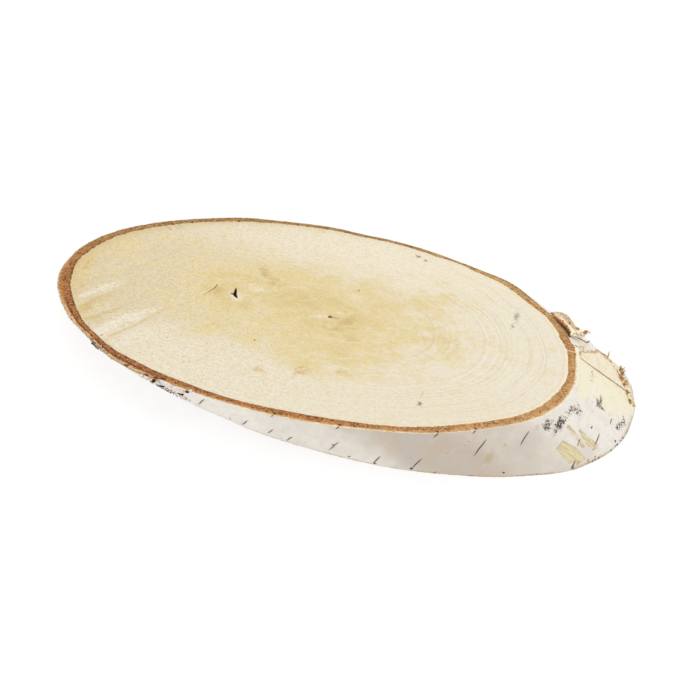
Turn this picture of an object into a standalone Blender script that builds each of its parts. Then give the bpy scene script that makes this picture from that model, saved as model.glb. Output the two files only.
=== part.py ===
# Birch wood slice: a thin slab sawn at a steep slant through a birch trunk, bark left on.
#
# The slab is one grown piece, so it is one solid. The log's own axis leans far over towards -X:
# each cut is a long oval, and the bark slopes outwards at +X and undercuts the slab at -X.
# Places on the bark are given as on the standing log: an angle round it, and a length along it.
import math
import random

import bmesh
import bpy
from mathutils import Vector

MM = 0.001

# Driving dimensions
THICKNESS = 15 * MM                  # between the two parallel saw cuts
TRUNK_RADIUS = 52.7 * MM             # bark included
SLANT = math.radians(58.6)           # between the log's axis and the vertical
TAPER = 0.5 * MM                     # the trunk is this much slimmer at the underside
BARK_WIDTH = 2.9 * MM                # wood edge to bark surface, square to the bark
SEGMENTS = 144                       # columns round the trunk
SIDE_CUTS = 4                        # rows added between the two rims
RIM_ROUNDING = 0.25 * MM             # worn arris of the upper cut
GROOVE_WIDTH = 0.5 * MM              # drying gap between wood and bark, upper cut only
GROOVE_DEPTH = 0.3 * MM

# High and low places of the trunk: angle round it in degrees, height, half width in degrees
RISES = (
    (-165, -0.3 * MM, 20), (-128, 0.7 * MM, 10), (-95, -0.6 * MM, 18), (-58, 0.5 * MM, 8),
    (-36, 1.3 * MM, 24), (2, -0.7 * MM, 9), (32, -0.5 * MM, 6), (47, 0.9 * MM, 6),
    (62, -0.2 * MM, 8), (86, -0.6 * MM, 6), (93, 0.3 * MM, 5), (115, -0.5 * MM, 50),
    (116, 0.6 * MM, 6), (158, 0.3 * MM, 12),
)
TOP_RISES = ((-128, 1.2 * MM, 10), (-116, 0.9 * MM, 5), (15, -0.6 * MM, 4))      # fade out downwards
FOOT_RISES = ((-117, -0.4 * MM, 8), (-76, 0.5 * MM, 12), (-43, 0.6 * MM, 6), (-10, -0.6 * MM, 14))   # upwards
BARK_RISES = ((180, 0.4 * MM, 22), (-90, -0.3 * MM, 22), (2, -0.7 * MM, 16))     # bark thicker or thinner

# The log's directions: along it, square to it on its upper side, and sideways
ALONG = Vector((-math.sin(SLANT), 0, math.cos(SLANT)))
UPPER_SIDE = Vector((math.cos(SLANT), 0, math.sin(SLANT)))
SIDEWAYS = Vector((0, 1, 0))
CENTRE = Vector((0, 0, THICKNESS / 2))
TOP_CENTRE = Vector((-THICKNESS / 2 * math.tan(SLANT), 0, THICKNESS))            # middle of the upper cut

# Lenticels, the dark breathing slits that run round the log: angle and height of the middle, length
LENTICEL_WIDTH = 0.7 * MM
LENTICEL_DEPTH = 0.4 * MM
LENTICEL_BLUNTNESS = 0.4             # width at its two ends, as a share of its width
LENTICELS = (
    (-108.8, 9.5 * MM, 6.0 * MM), (-104.0, 4.4 * MM, 6.0 * MM), (-99.0, 4.1 * MM, 5.6 * MM),
    (-96.0, 3.0 * MM, 4.6 * MM), (-84.7, 5.2 * MM, 6.9 * MM), (-78.5, 2.6 * MM, 4.6 * MM),
    (-70.0, 3.3 * MM, 5.6 * MM), (-51.2, 9.7 * MM, 6.9 * MM), (-39.5, 10.9 * MM, 5.6 * MM),
    (-24.0, 4.0 * MM, 4.6 * MM),
)
# More of them round the far side, drawn within these limits
BACK_LENTICELS = 26
BACK_ANGLES = (42, 228)
BACK_HEIGHTS = (0.15 * THICKNESS, 0.85 * THICKNESS)
BACK_LENGTHS = (4 * MM, 8 * MM)
BACK_SHIFT = (0.3, 0.7)              # place within its share of the angles
LENTICEL_SEED = 7

# Peeled places, as corners: angle round the log, height above the underside
PEEL_DEPTH = 0.5 * MM
PEELS = {
    "tan_window": ((-32.3, 7.6 * MM), (-36.2, 6.2 * MM), (-38.0, 1.8 * MM), (-33.4, 1.0 * MM),
                   (-31.6, 4.2 * MM)),
    "long_strip": ((-24.8, 9.9 * MM), (-27.2, 9.2 * MM), (-28.6, 2.2 * MM), (-26.6, 2.0 * MM)),
    "short_strip": ((-28.6, 7.6 * MM), (-29.9, 7.2 * MM), (-31.0, 3.0 * MM), (-29.8, 2.8 * MM)),
    "stripped_bark": ((13.0, 12.9 * MM), (18.5, 8.6 * MM), (27.0, 4.2 * MM), (34.0, 4.6 * MM),
                      (30.0, 11.8 * MM), (20.0, 13.2 * MM)),
}

# Paper left on top of the bark: a loose sheet with a straight edge along the log and a torn upper edge
SHEET_LIFT = 0.6 * MM
SHEET = ((6.4, 13.4 * MM), (10.0, 12.7 * MM), (14.0, 10.6 * MM), (17.6, 8.6 * MM), (18.2, 4.6 * MM),
         (13.0, 1.6 * MM), (7.2, 1.6 * MM))

# The scroll of paper bark that has rolled off the upper rim
SCROLL_ENDS = (32.5, 16.5)           # angles on the rim
SCROLL_RADIUS = 1.55 * MM
SCROLL_THIN_END = 0.62               # radius at its ends, as a share of the full one
SCROLL_SHEET = 0.65 * MM
SCROLL_ROOT = 3.1 * MM               # how far below the rim the paper still holds on
SCROLL_TURN = (-75, 215)             # where its section starts and stops, in degrees, at the first end
SCROLL_OPENING = 55                  # the section stops this much sooner at the second end
SCROLL_DOWN, SCROLL_OUT = 0.35, 0.72     # its axis: up from the root, out from the bark, in radii

# Loose shreds at the low edge: angle, height, length, width, lift of the tip, turn from the log's direction
SHREDS = (
    (22.5, 9.2 * MM, 5.0 * MM, 1.2 * MM, 1.5 * MM, -60),
    (27.5, 6.2 * MM, 3.2 * MM, 1.5 * MM, 2.2 * MM, 10),
    (19.5, 5.6 * MM, 4.6 * MM, 1.4 * MM, 1.5 * MM, 35),
    (16.5, 3.4 * MM, 4.4 * MM, 1.8 * MM, 1.3 * MM, -20),
    (12.0, 2.4 * MM, 3.6 * MM, 2.2 * MM, 0.9 * MM, 25),
    (5.0, 2.2 * MM, 3.8 * MM, 2.2 * MM, 0.8 * MM, -15),
)
SHRED_SHEET = 0.65 * MM
SHRED_NARROWING = 0.55               # share of its width lost at the tip

# Rough outer bark low on the left front: overlapping plates, drawn inside this patch
PLATE_ANGLES = (-124, -111)
PLATE_HEIGHTS = (0.5 * THICKNESS, 0.85 * THICKNESS)
PLATE_COUNT = 9
PLATE_CORNERS = 7
PLATE_HALF_WIDTHS = (1.3, 2.4)       # degrees
PLATE_HALF_LENGTHS = (2.4 * MM, 4.2 * MM)
PLATE_RAGGEDNESS = (0.75, 1.1)       # reach of a corner, as a share of the half sizes
PLATE_RAISE = (0.5 * MM, 1.0 * MM)
PLATE_SEED = 11

# Cracks in the upper cut, as points from the cut's centre, with their width and depth
KNOT = (-30.3 * MM, 1.1 * MM)
KNOT_ARMS = ((-0.5 * MM, 3.1 * MM), (-1.5 * MM, -0.3 * MM), (1.7 * MM, -1.9 * MM))
KNOT_WIDTH = 0.75 * MM
KNOT_DEPTH = 2.5 * MM
CHECK = ((-38.6 * MM, 3.9 * MM), (-39.1 * MM, 1.6 * MM), (-40.1 * MM, -0.6 * MM), (-41.5 * MM, -2.9 * MM))
CHECK_WIDTH = 0.4 * MM
CHECK_DEPTH = 1.0 * MM
CRACK_OVERLAP, CRACK_WIDEST = 0.15, 0.35     # along one arm, as shares of its length
PITH = (10.0 * MM, -0.5 * MM)
PITH_SIZE = (1.9 * MM, 0.5 * MM, 0.6 * MM)

REACH = 1.5 * MM                     # how far a cutter stands clear of the surface that it cuts
SUNK = 0.4 * MM                      # how far a root is sunk into the bark
MERGE = 0.01 * MM                    # points closer than this become one
SHARP = math.radians(30)             # edges sharper than this stay sharp


def clear_scene():
    for item in list(bpy.data.objects):
        bpy.data.objects.remove(item, do_unlink=True)


def make_collection(name):
    collection = bpy.data.collections.new(name)
    bpy.context.scene.collection.children.link(collection)
    return collection


def make_material(name, colour, roughness):
    material = bpy.data.materials.new(name)
    material.use_nodes = True
    shader = material.node_tree.nodes["Principled BSDF"]
    shader.inputs["Base Color"].default_value = (*colour, 1)
    shader.inputs["Roughness"].default_value = roughness
    shader.inputs["Metallic"].default_value = 0
    material.diffuse_color = (*colour, 1)
    return material


def swell(angle, rises):
    """Sum of the bell-shaped rises at an angle in degrees."""
    total = 0
    for middle, height, half_width in rises:
        apart = (angle - middle + 180) % 360 - 180
        total += height * math.exp(-(apart / half_width) ** 2)
    return total


def trunk_radius(angle, share):
    """Radius of the bark surface at an angle in degrees; share is 0 at the underside, 1 at the top."""
    radius = TRUNK_RADIUS - TAPER * (1 - share) + swell(angle, RISES)
    return radius + share * swell(angle, TOP_RISES) + (1 - share) * swell(angle, FOOT_RISES)


def slanted(angle, radius, z):
    """The point at this height on a line that runs along the log at this angle and radius."""
    turn = math.radians(angle)
    x = radius * math.cos(turn) / math.cos(SLANT) - (z - THICKNESS / 2) * math.tan(SLANT)
    return Vector((x, radius * math.sin(turn), z))


def length_along(angle, z):
    """Length along the log of the bark point at this angle and height."""
    radius = trunk_radius(angle, z / THICKNESS)
    return (slanted(angle, radius, z) - CENTRE).dot(ALONG)


def outward(angle):
    turn = math.radians(angle)
    return UPPER_SIDE * math.cos(turn) + SIDEWAYS * math.sin(turn)


def on_bark(angle, along, raised):
    """The point at this angle and length along the log, raised off the bark surface."""
    share = 1 / 2
    for _ in range(3):               # the radius depends on the height, which depends on the radius
        point = CENTRE + ALONG * along + outward(angle) * trunk_radius(angle, share)
        share = min(1, max(0, point.z / THICKNESS))
    return point + outward(angle) * raised


def finish(name, shape, collection, material=None):
    mesh = bpy.data.meshes.new(name)
    shape.to_mesh(mesh)
    shape.free()
    item = bpy.data.objects.new(name, mesh)
    collection.objects.link(item)
    if material:
        mesh.materials.append(material)
    return item


def cutter(item):
    item.hide_render = True
    item.display_type = "WIRE"
    return item


def build_slab(collection, wood, ring_bark, paper_bark):
    """The sawn slab: a cylinder whose rims are stepped for the bark ring, then slanted into place."""
    shape = bmesh.new()
    bmesh.ops.create_cone(shape, cap_ends=True, segments=SEGMENTS, radius1=TRUNK_RADIUS, radius2=TRUNK_RADIUS,
                          depth=THICKNESS)
    sides = [edge for edge in shape.edges if abs(edge.verts[0].co.z - edge.verts[1].co.z) > THICKNESS / 2]
    bmesh.ops.subdivide_edges(shape, edges=sides, cuts=SIDE_CUTS, use_grid_fill=True)
    top = max(shape.faces, key=lambda face: face.calc_center_median().z)
    # rounded arris, bark ring, and the two walls of the drying groove
    for width, sink in ((RIM_ROUNDING, 0), (BARK_WIDTH - RIM_ROUNDING - GROOVE_WIDTH / 2, 0),
                        (GROOVE_WIDTH / 2, -GROOVE_DEPTH), (GROOVE_WIDTH / 2, GROOVE_DEPTH)):
        bmesh.ops.inset_region(shape, faces=[top], thickness=width, depth=sink, use_even_offset=True)
    low = min(shape.faces, key=lambda face: face.calc_center_median().z)
    bmesh.ops.inset_region(shape, faces=[low], thickness=BARK_WIDTH, use_even_offset=True)
    wood_faces = [top, low]
    for vertex in shape.verts:
        flat = math.hypot(vertex.co.x, vertex.co.y)
        angle = math.degrees(math.atan2(vertex.co.y, vertex.co.x))
        z = vertex.co.z + THICKNESS / 2
        inside = (TRUNK_RADIUS - flat) * (1 + swell(angle, BARK_RISES) / BARK_WIDTH)
        radius = trunk_radius(angle, z / THICKNESS) - inside
        at_rim = flat > TRUNK_RADIUS - RIM_ROUNDING / 2 and z > THICKNESS - RIM_ROUNDING / 2
        vertex.co = slanted(angle, radius, z - RIM_ROUNDING if at_rim else z)
    shape.normal_update()
    for face in shape.faces:
        level = abs(face.normal.z) > math.cos(math.radians(5))
        face.material_index = 0 if face in wood_faces else 1 if level else 2
    bmesh.ops.triangulate(shape, faces=list(shape.faces))
    slab = finish("birch_slice", shape, collection, wood)
    slab.data.materials.append(ring_bark)
    slab.data.materials.append(paper_bark)
    return slab


def bark_pad(name, outline, low, high, collection, material):
    """A pad on the bark between two heights, its outline given as (angle, length along the log)."""
    shape = bmesh.new()
    corners = [shape.verts.new((angle, along / MM, 0)) for angle, along in outline]
    shape.faces.new(corners)
    step = 360 / SEGMENTS
    first = math.ceil(min(angle for angle, _ in outline) / step)
    last = math.floor(max(angle for angle, _ in outline) / step)
    for column in range(first, last + 1):
        bmesh.ops.bisect_plane(shape, geom=[*shape.verts, *shape.edges, *shape.faces],
                               plane_co=(column * step, 0, 0), plane_no=(1, 0, 0))
    pushed = bmesh.ops.extrude_face_region(shape, geom=list(shape.faces))
    upper = {item for item in pushed["geom"] if isinstance(item, bmesh.types.BMVert)}
    for vertex in shape.verts:
        vertex.co = on_bark(vertex.co.x, vertex.co.y * MM, high if vertex in upper else low)
    bmesh.ops.triangulate(shape, faces=list(shape.faces))
    bmesh.ops.recalc_face_normals(shape, faces=list(shape.faces))
    return finish(name, shape, collection, material)


def slit(angle, z, length):
    """Outline of one lenticel: a blunt lens that runs round the log."""
    along = length_along(angle, z)
    half = math.degrees(length / 2 / TRUNK_RADIUS)
    wide = LENTICEL_WIDTH / 2
    blunt = wide * LENTICEL_BLUNTNESS
    return ((angle - half, along - blunt), (angle - half / 2, along - wide), (angle + half / 2, along - wide),
            (angle + half, along - blunt), (angle + half, along + blunt), (angle + half / 2, along + wide),
            (angle - half / 2, along + wide), (angle - half, along + blunt))


def corners_along(corners):
    """Corners given as (angle, height), turned into (angle, length along the log)."""
    return [(angle, length_along(angle, z)) for angle, z in corners]


def cut_bark(collection, material):
    """Cutters for the lenticels and for the places where the paper has peeled away."""
    draw = random.Random(LENTICEL_SEED)
    places = list(LENTICELS)
    span = (BACK_ANGLES[1] - BACK_ANGLES[0]) / BACK_LENTICELS
    for number in range(BACK_LENTICELS):
        angle = BACK_ANGLES[0] + (number + draw.uniform(*BACK_SHIFT)) * span
        places.append((angle, draw.uniform(*BACK_HEIGHTS), draw.uniform(*BACK_LENGTHS)))
    for number, (angle, z, length) in enumerate(places):
        name = f"lenticel_cut_{number}"
        cutter(bark_pad(name, slit(angle, z, length), -LENTICEL_DEPTH, REACH, collection, material))
    for name, corners in PEELS.items():
        cutter(bark_pad(f"{name}_cut", corners_along(corners), -PEEL_DEPTH, REACH, collection, material))


def wedge(name, start, end, width, depth, collection, material):
    """Cutter for one arm of a crack: a thin diamond that follows the log's grain down from the cut."""
    shape = bmesh.new()
    first, last = Vector((*start, 0)), Vector((*end, 0))
    run = last - first
    across = Vector((-run.y, run.x, 0)).normalized() * width / 2
    middle = first + run * CRACK_WIDEST
    ring = (first - run * CRACK_OVERLAP, middle - across, last, middle + across)
    face = shape.faces.new([shape.verts.new(TOP_CENTRE + point + ALONG * REACH) for point in ring])
    pushed = bmesh.ops.extrude_face_region(shape, geom=[face])
    down = [item for item in pushed["geom"] if isinstance(item, bmesh.types.BMVert)]
    bmesh.ops.translate(shape, verts=down, vec=-ALONG * (REACH + depth / math.cos(SLANT)))
    bmesh.ops.recalc_face_normals(shape, faces=list(shape.faces))
    return cutter(finish(name, shape, collection, material))


def cut_cracks(collection, material):
    """Cutters for the split knot, the curved check beside it, and the pith."""
    for number, arm in enumerate(KNOT_ARMS):
        end = (KNOT[0] + arm[0], KNOT[1] + arm[1])
        wedge(f"knot_cut_{number}", KNOT, end, KNOT_WIDTH, KNOT_DEPTH, collection, material)
    for number, (start, end) in enumerate(zip(CHECK, CHECK[1:])):
        wedge(f"check_cut_{number}", start, end, CHECK_WIDTH, CHECK_DEPTH, collection, material)
    shape = bmesh.new()
    bmesh.ops.create_icosphere(shape, subdivisions=2, radius=1)
    bmesh.ops.scale(shape, vec=PITH_SIZE, verts=shape.verts)
    bmesh.ops.translate(shape, vec=TOP_CENTRE + Vector((*PITH, 0)), verts=shape.verts)
    cutter(finish("pith_cut", shape, collection, material))


def thick_sheet(name, columns, rows, place, sheet, collection, material):
    """A sheet of paper bark: a grid bent by place(across, up), both from 0 to 1, and given its thickness."""
    shape = bmesh.new()
    bmesh.ops.create_grid(shape, x_segments=columns, y_segments=rows, size=0.5)
    for vertex in shape.verts:
        vertex.co = place(vertex.co.x + 0.5, vertex.co.y + 0.5)
    bmesh.ops.recalc_face_normals(shape, faces=list(shape.faces))
    item = finish(name, shape, collection, material)
    shell = item.modifiers.new("Solidify", "SOLIDIFY")
    shell.thickness = sheet
    shell.offset = 0
    shell.use_even_offset = True
    return item


def roll_scroll(collection, material):
    """The rolled paper: it holds on below the rim, stands up, and curls back over the rim's edge."""
    first_end, second_end = SCROLL_ENDS
    start, stop = SCROLL_TURN

    def place(across, up):
        angle = first_end + (second_end - first_end) * across
        rim = slanted(angle, trunk_radius(angle, 1), THICKNESS)
        ahead = slanted(angle - 1, trunk_radius(angle - 1, 1), THICKNESS)
        lift = outward(angle)
        down = -(ahead - rim).cross(lift).normalized()
        fullness = math.sin(math.pi * min(1, across * 1.15) ** 0.8)     # thickest short of the middle
        size = SCROLL_RADIUS * (SCROLL_THIN_END + (1 - SCROLL_THIN_END) * fullness)
        turn = math.radians(start + (stop - SCROLL_OPENING * across - start) * up)
        middle = rim + down * (SCROLL_ROOT - size * SCROLL_DOWN) + lift * size * SCROLL_OUT
        return middle + down * size * math.cos(turn) + lift * size * math.sin(turn)
    return thick_sheet("scroll", 9, 13, place, SCROLL_SHEET, collection, material)


def lift_shreds(collection, material):
    """Torn shreds that still hold on at one end and stand away from the bark at the other."""
    for number, (angle, z, length, width, tip, turn) in enumerate(SHREDS):
        along = length_along(angle, z)
        heading = math.radians(turn)

        def place(across, up, angle=angle, along=along, length=length, width=width, tip=tip, heading=heading):
            run = up * length
            side = (across - 0.5) * width * (1 - SHRED_NARROWING * up)
            shift = run * math.sin(heading) + side * math.cos(heading)
            forward = -run * math.cos(heading) + side * math.sin(heading)
            raised = tip * up ** 1.5 - SUNK * (1 - up)
            return on_bark(angle + math.degrees(shift / TRUNK_RADIUS), along + forward, raised)
        thick_sheet(f"shred_{number}", 2, 5, place, SHRED_SHEET, collection, material)


def lay_plates(collection, material):
    """Rough plates of old outer bark, each a ragged pad sunk into the bark below it."""
    draw = random.Random(PLATE_SEED)
    span = (PLATE_ANGLES[1] - PLATE_ANGLES[0]) / PLATE_COUNT
    for number in range(PLATE_COUNT):
        angle = PLATE_ANGLES[0] + (number + 0.5) * span
        along = length_along(angle, draw.uniform(*PLATE_HEIGHTS))
        wide = draw.uniform(*PLATE_HALF_WIDTHS)
        tall = draw.uniform(*PLATE_HALF_LENGTHS)
        outline = []
        for corner in range(PLATE_CORNERS):
            turn = math.tau * corner / PLATE_CORNERS
            reach = draw.uniform(*PLATE_RAGGEDNESS)
            outline.append((angle + wide * reach * math.cos(turn), along + tall * reach * math.sin(turn)))
        bark_pad(f"plate_{number}", outline, -SUNK, draw.uniform(*PLATE_RAISE), collection, material)


def join_all(slab, collection, operation):
    """Join to, or cut from, the slab everything in the collection, in one Boolean."""
    change = slab.modifiers.new(operation.title(), "BOOLEAN")
    change.operation = operation
    change.operand_type = "COLLECTION"
    change.collection = collection
    change.solver = "EXACT"
    bpy.context.view_layer.update()
    depsgraph = bpy.context.evaluated_depsgraph_get()
    mesh = bpy.data.meshes.new_from_object(slab.evaluated_get(depsgraph), depsgraph=depsgraph)
    slab.modifiers.clear()
    slab.data = mesh
    mesh.name = slab.name
    for item in list(collection.objects):
        bpy.data.objects.remove(item, do_unlink=True)
    bpy.data.collections.remove(collection)


def connected(start):
    """All vertices that hang together with this one."""
    found = {start}
    waiting = [start]
    while waiting:
        for edge in waiting.pop().link_edges:
            for vertex in edge.verts:
                if vertex not in found:
                    found.add(vertex)
                    waiting.append(vertex)
    return found


def tidy(slab):
    """Merge what the Booleans left almost touching, drop loose crumbs, and shade the bark smooth."""
    shape = bmesh.new()
    shape.from_mesh(slab.data)
    bmesh.ops.remove_doubles(shape, verts=shape.verts, dist=MERGE)
    body = connected(min(shape.verts, key=lambda vertex: vertex.co.x))
    bmesh.ops.delete(shape, geom=[vertex for vertex in shape.verts if vertex not in body], context="VERTS")
    bmesh.ops.triangulate(shape, faces=[face for face in shape.faces if len(face.verts) > 3])
    shape.to_mesh(slab.data)
    shape.free()
    slab.data.shade_smooth()
    slab.data.set_sharp_from_angle(angle=SHARP)


def main():
    clear_scene()
    wood = make_material("sawn_birch", (0.80, 0.70, 0.50), 0.75)
    ring_bark = make_material("inner_bark", (0.42, 0.22, 0.09), 0.9)
    paper_bark = make_material("paper_bark", (0.78, 0.73, 0.66), 0.65)
    part = make_collection("birch_wood_slice")
    slab = build_slab(part, wood, ring_bark, paper_bark)

    cuts = make_collection("cuts")
    cut_bark(cuts, ring_bark)
    cut_cracks(cuts, ring_bark)
    join_all(slab, cuts, "DIFFERENCE")

    paper = make_collection("paper_bark_pieces")
    roll_scroll(paper, paper_bark)
    lift_shreds(paper, paper_bark)
    lay_plates(paper, paper_bark)
    bark_pad("loose_sheet", corners_along(SHEET), -SUNK, SHEET_LIFT, paper, paper_bark)
    join_all(slab, paper, "UNION")
    tidy(slab)


main()
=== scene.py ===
import math
import random

import bmesh
import bpy
import numpy as np
from mathutils import Matrix, Vector, noise


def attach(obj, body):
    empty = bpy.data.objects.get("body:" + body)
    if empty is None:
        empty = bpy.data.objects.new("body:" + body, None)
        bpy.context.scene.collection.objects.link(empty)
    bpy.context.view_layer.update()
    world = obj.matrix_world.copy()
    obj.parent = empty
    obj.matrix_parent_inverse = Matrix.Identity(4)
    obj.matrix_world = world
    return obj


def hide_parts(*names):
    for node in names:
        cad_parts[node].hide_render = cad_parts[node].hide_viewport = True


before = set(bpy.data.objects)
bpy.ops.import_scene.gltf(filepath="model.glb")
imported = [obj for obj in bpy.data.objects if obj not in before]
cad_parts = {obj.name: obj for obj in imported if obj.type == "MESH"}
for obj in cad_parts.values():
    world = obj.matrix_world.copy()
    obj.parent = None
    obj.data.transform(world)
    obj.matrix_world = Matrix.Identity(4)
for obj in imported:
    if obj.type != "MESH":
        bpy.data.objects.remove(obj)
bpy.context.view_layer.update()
mm = 0.001
print("birch slice: frame loaded")

# the trunk, in millimetres and degrees; angle 0 is the end where the bark slopes outwards
trunk = {
    "thickness": 15.0,
    "radius": 52.7,
    "slant": math.radians(58.6),        # between the log's axis and the vertical
    "taper": 0.5,                       # slimmer by this at the underside
    "barkWidth": 2.9,
    "paper": 0.42,                      # the outer skin alone
    "rises": ((-165, -0.3, 20), (-128, 0.7, 10), (-95, -0.6, 18), (-58, 0.5, 8), (-36, 1.3, 24),
              (2, -0.7, 9), (32, -0.5, 6), (47, 0.9, 6), (62, -0.2, 8), (86, -0.6, 6), (93, 0.3, 5),
              (115, -0.5, 50), (116, 0.6, 6), (158, 0.3, 12)),
    "topRises": ((-128, 0.85, 10), (-135, -1.0, 8), (-117, 0.75, 6), (-28, 0.5, 13), (-168, 0.3, 9),
                 (15, -0.6, 4), (23, -0.5, 4), (-88, 0.4, 16), (-141, 0.4, 7), (100, -0.3, 36)),
    "footRises": ((-117, -0.4, 8), (-76, 0.5, 12), (-43, 0.6, 6), (-10, -0.6, 14), (0.5, 0.45, 5),
                  (-38, 0.3, 7), (-52, 0.25, 6)),
    "barkRises": ((-147, -0.3, 9), (-136, -0.65, 9), (-121, 0.75, 7), (-98, -1.0, 13), (-88, 0.4, 16),
                  (-66, -0.6, 12), (-30, -0.5, 18), (0, -1.2, 15), (26, -1.0, 10), (60, -0.65, 5),
                  (75, -1.25, 34), (83, -0.25, 7), (104, -0.55, 8), (127, -0.3, 6), (150, -0.9, 34),
                  (178, -0.45, 8)),
}
half = trunk["thickness"] / 2
cosSlant, sinSlant = math.cos(trunk["slant"]), math.sin(trunk["slant"])
tanSlant = sinSlant / cosSlant
degreeArc = math.radians(1) * trunk["radius"]       # millimetres of bark in one degree


def turnFrom(middle, angle):            # degrees from one angle to the other, the short way round
    return (angle - middle + 180) % 360 - 180


def bell(distance, width):
    return np.exp(-(distance / width) ** 2)


def bells(angle, rises):                # sum of bell-shaped rises: their angles, heights and widths
    total = np.zeros(np.shape(angle))
    for middle, height, width in rises:
        total = total + height * bell(turnFrom(middle, angle), width)
    return total


def trunkRadius(angle, share):          # share is 0 at the underside and 1 at the upper cut
    radius = trunk["radius"] - trunk["taper"] * (1 - share) + bells(angle, trunk["rises"])
    return radius + share * bells(angle, trunk["topRises"]) + (1 - share) * bells(angle, trunk["footRises"])


def logPoint(angle, radius, z):         # the point at this height on a line along the log
    turn = np.radians(angle)
    x = radius * np.cos(turn) / cosSlant - (z - half) * tanSlant
    return np.stack(np.broadcast_arrays(x, radius * np.sin(turn), z), axis=-1)


def outward(angle):                     # square to the bark
    turn = np.radians(angle)
    return np.stack([np.cos(turn) * cosSlant, np.sin(turn), np.cos(turn) * sinSlant], axis=-1)


def lengthAlong(angle, z):              # how far along the log the bark is at this height
    radius = trunkRadius(angle, z / trunk["thickness"])
    return ((z - half) - radius * np.cos(np.radians(angle)) * sinSlant) / cosSlant


def alongAt(angle, z):                  # the same for one plain angle
    return float(lengthAlong(np.array(angle), z))


def onBark(angle, along, raised):       # the point at this angle and length along the log
    share = 0.5 + np.zeros(np.shape(angle))
    for _ in range(3):                  # the radius depends on the height, and the height on the radius
        radius = trunkRadius(angle, share)
        z = half + along * cosSlant + radius * np.cos(np.radians(angle)) * sinSlant
        share = np.clip(z / trunk["thickness"], 0, 1)
    return logPoint(angle, trunkRadius(angle, share), z) + outward(angle) * np.asarray(raised)[..., None]


def logFrame(points):                   # angle, radius and length along the log of points in millimetres
    x, y, z = points[:, 0], points[:, 1], points[:, 2] - half
    upper = x * cosSlant + z * sinSlant
    return np.degrees(np.arctan2(y, upper)), np.hypot(upper, y), z * cosSlant - x * sinSlant


def rough(points, size, octaves=2, seed=0.0):       # smooth noise about -1 to 1, its grain this big
    return np.array([noise.fractal(Vector(p), 1.0, 2.0, octaves) for p in points / size + seed])


def smoothStep(low, high, value):
    share = np.clip((value - low) / (high - low), 0, 1)
    return share * share * (3 - 2 * share)


def spots(x, y, places):                # soft oval spots: x, y, half sizes, turn in degrees, strength
    total = np.zeros(np.shape(x))
    for middleX, middleY, sizeX, sizeY, turn, strength in places:
        c, s = math.cos(math.radians(turn)), math.sin(math.radians(turn))
        dx, dy = x - middleX, y - middleY
        total = total + strength * bell(dx * c + dy * s, sizeX) * bell(dy * c - dx * s, sizeY)
    return total


def strokeDistance(x, y, line):         # distance to a bent line, and how far along it the nearest point is
    nearest, along = np.full(np.shape(x), 1e9), np.zeros(np.shape(x))
    legs = len(line) - 1
    for number, ((ax, ay), (bx, by)) in enumerate(zip(line, line[1:])):
        dx, dy = bx - ax, by - ay
        share = np.clip(((x - ax) * dx + (y - ay) * dy) / (dx * dx + dy * dy), 0, 1)
        distance = np.hypot(x - ax - share * dx, y - ay - share * dy)
        along = np.where(distance < nearest, (number + share) / legs, along)
        nearest = np.minimum(nearest, distance)
    return nearest, along


def outlineDistance(x, y, outline):     # distance to a closed outline, negative inside
    ring = [*outline, outline[0]]
    distance, _ = strokeDistance(x, y, ring)
    inside = np.zeros(np.shape(x), bool)
    for (ax, ay), (bx, by) in zip(ring, ring[1:]):
        crosses = (ay > y) != (by > y)
        inside ^= crosses & (x < (bx - ax) * (y - ay) / (by - ay + 1e-12) + ax)
    return np.where(inside, -distance, distance)


def corners(shape):                     # a bmesh's points as an array
    return np.array([tuple(v.co) for v in shape.verts])


def moveTo(verts, points):
    for v, point in zip(verts, points):
        v.co = point


def store(verts, layer, values):
    for v, value in zip(verts, values):
        v[layer] = value


def finishPiece(name, shape, points, values, material):
    for face in shape.faces:
        face.smooth = True
    mesh = bpy.data.meshes.new(name)
    shape.to_mesh(mesh)
    shape.free()
    mesh.vertices.foreach_set("co", (points * mm).astype(np.float32).ravel())
    for title, array in values.items():
        mesh.attributes.new(title, "FLOAT", "POINT").data.foreach_set("value", array.astype(np.float32))
    mesh.materials.append(material)
    mesh.update()
    piece = bpy.data.objects.new(name, mesh)
    bpy.context.scene.collection.objects.link(piece)
    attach(piece, "root")
    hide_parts("birch_slice")
    print(f"birch slice: {name}, {len(mesh.polygons)} faces")
    return piece


# camera, floor and light
picture = {
    "eye": (68.0, -239.3, 246.0),       # millimetres
    "right": (0.961, 0.2759, 0.0185),
    "back": (0.1829, -0.6842, 0.706),
    "lens": 46.69,
    "sensor": 36.0,
    "nearest": 5.0,
}


def placeCamera():
    back = Vector(picture["back"]).normalized()
    right = Vector(picture["right"])
    right = (right - back * right.dot(back)).normalized()
    data = bpy.data.cameras.new("camera")
    data.lens = picture["lens"]
    data.sensor_width = picture["sensor"]
    data.clip_start = picture["nearest"] * mm
    camera = bpy.data.objects.new("camera", data)
    turned = Matrix((right, back.cross(right), back)).transposed().to_4x4()
    camera.matrix_world = Matrix.Translation(Vector(picture["eye"]) * mm) @ turned
    bpy.context.scene.collection.objects.link(camera)
    bpy.context.scene.camera = camera


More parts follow.
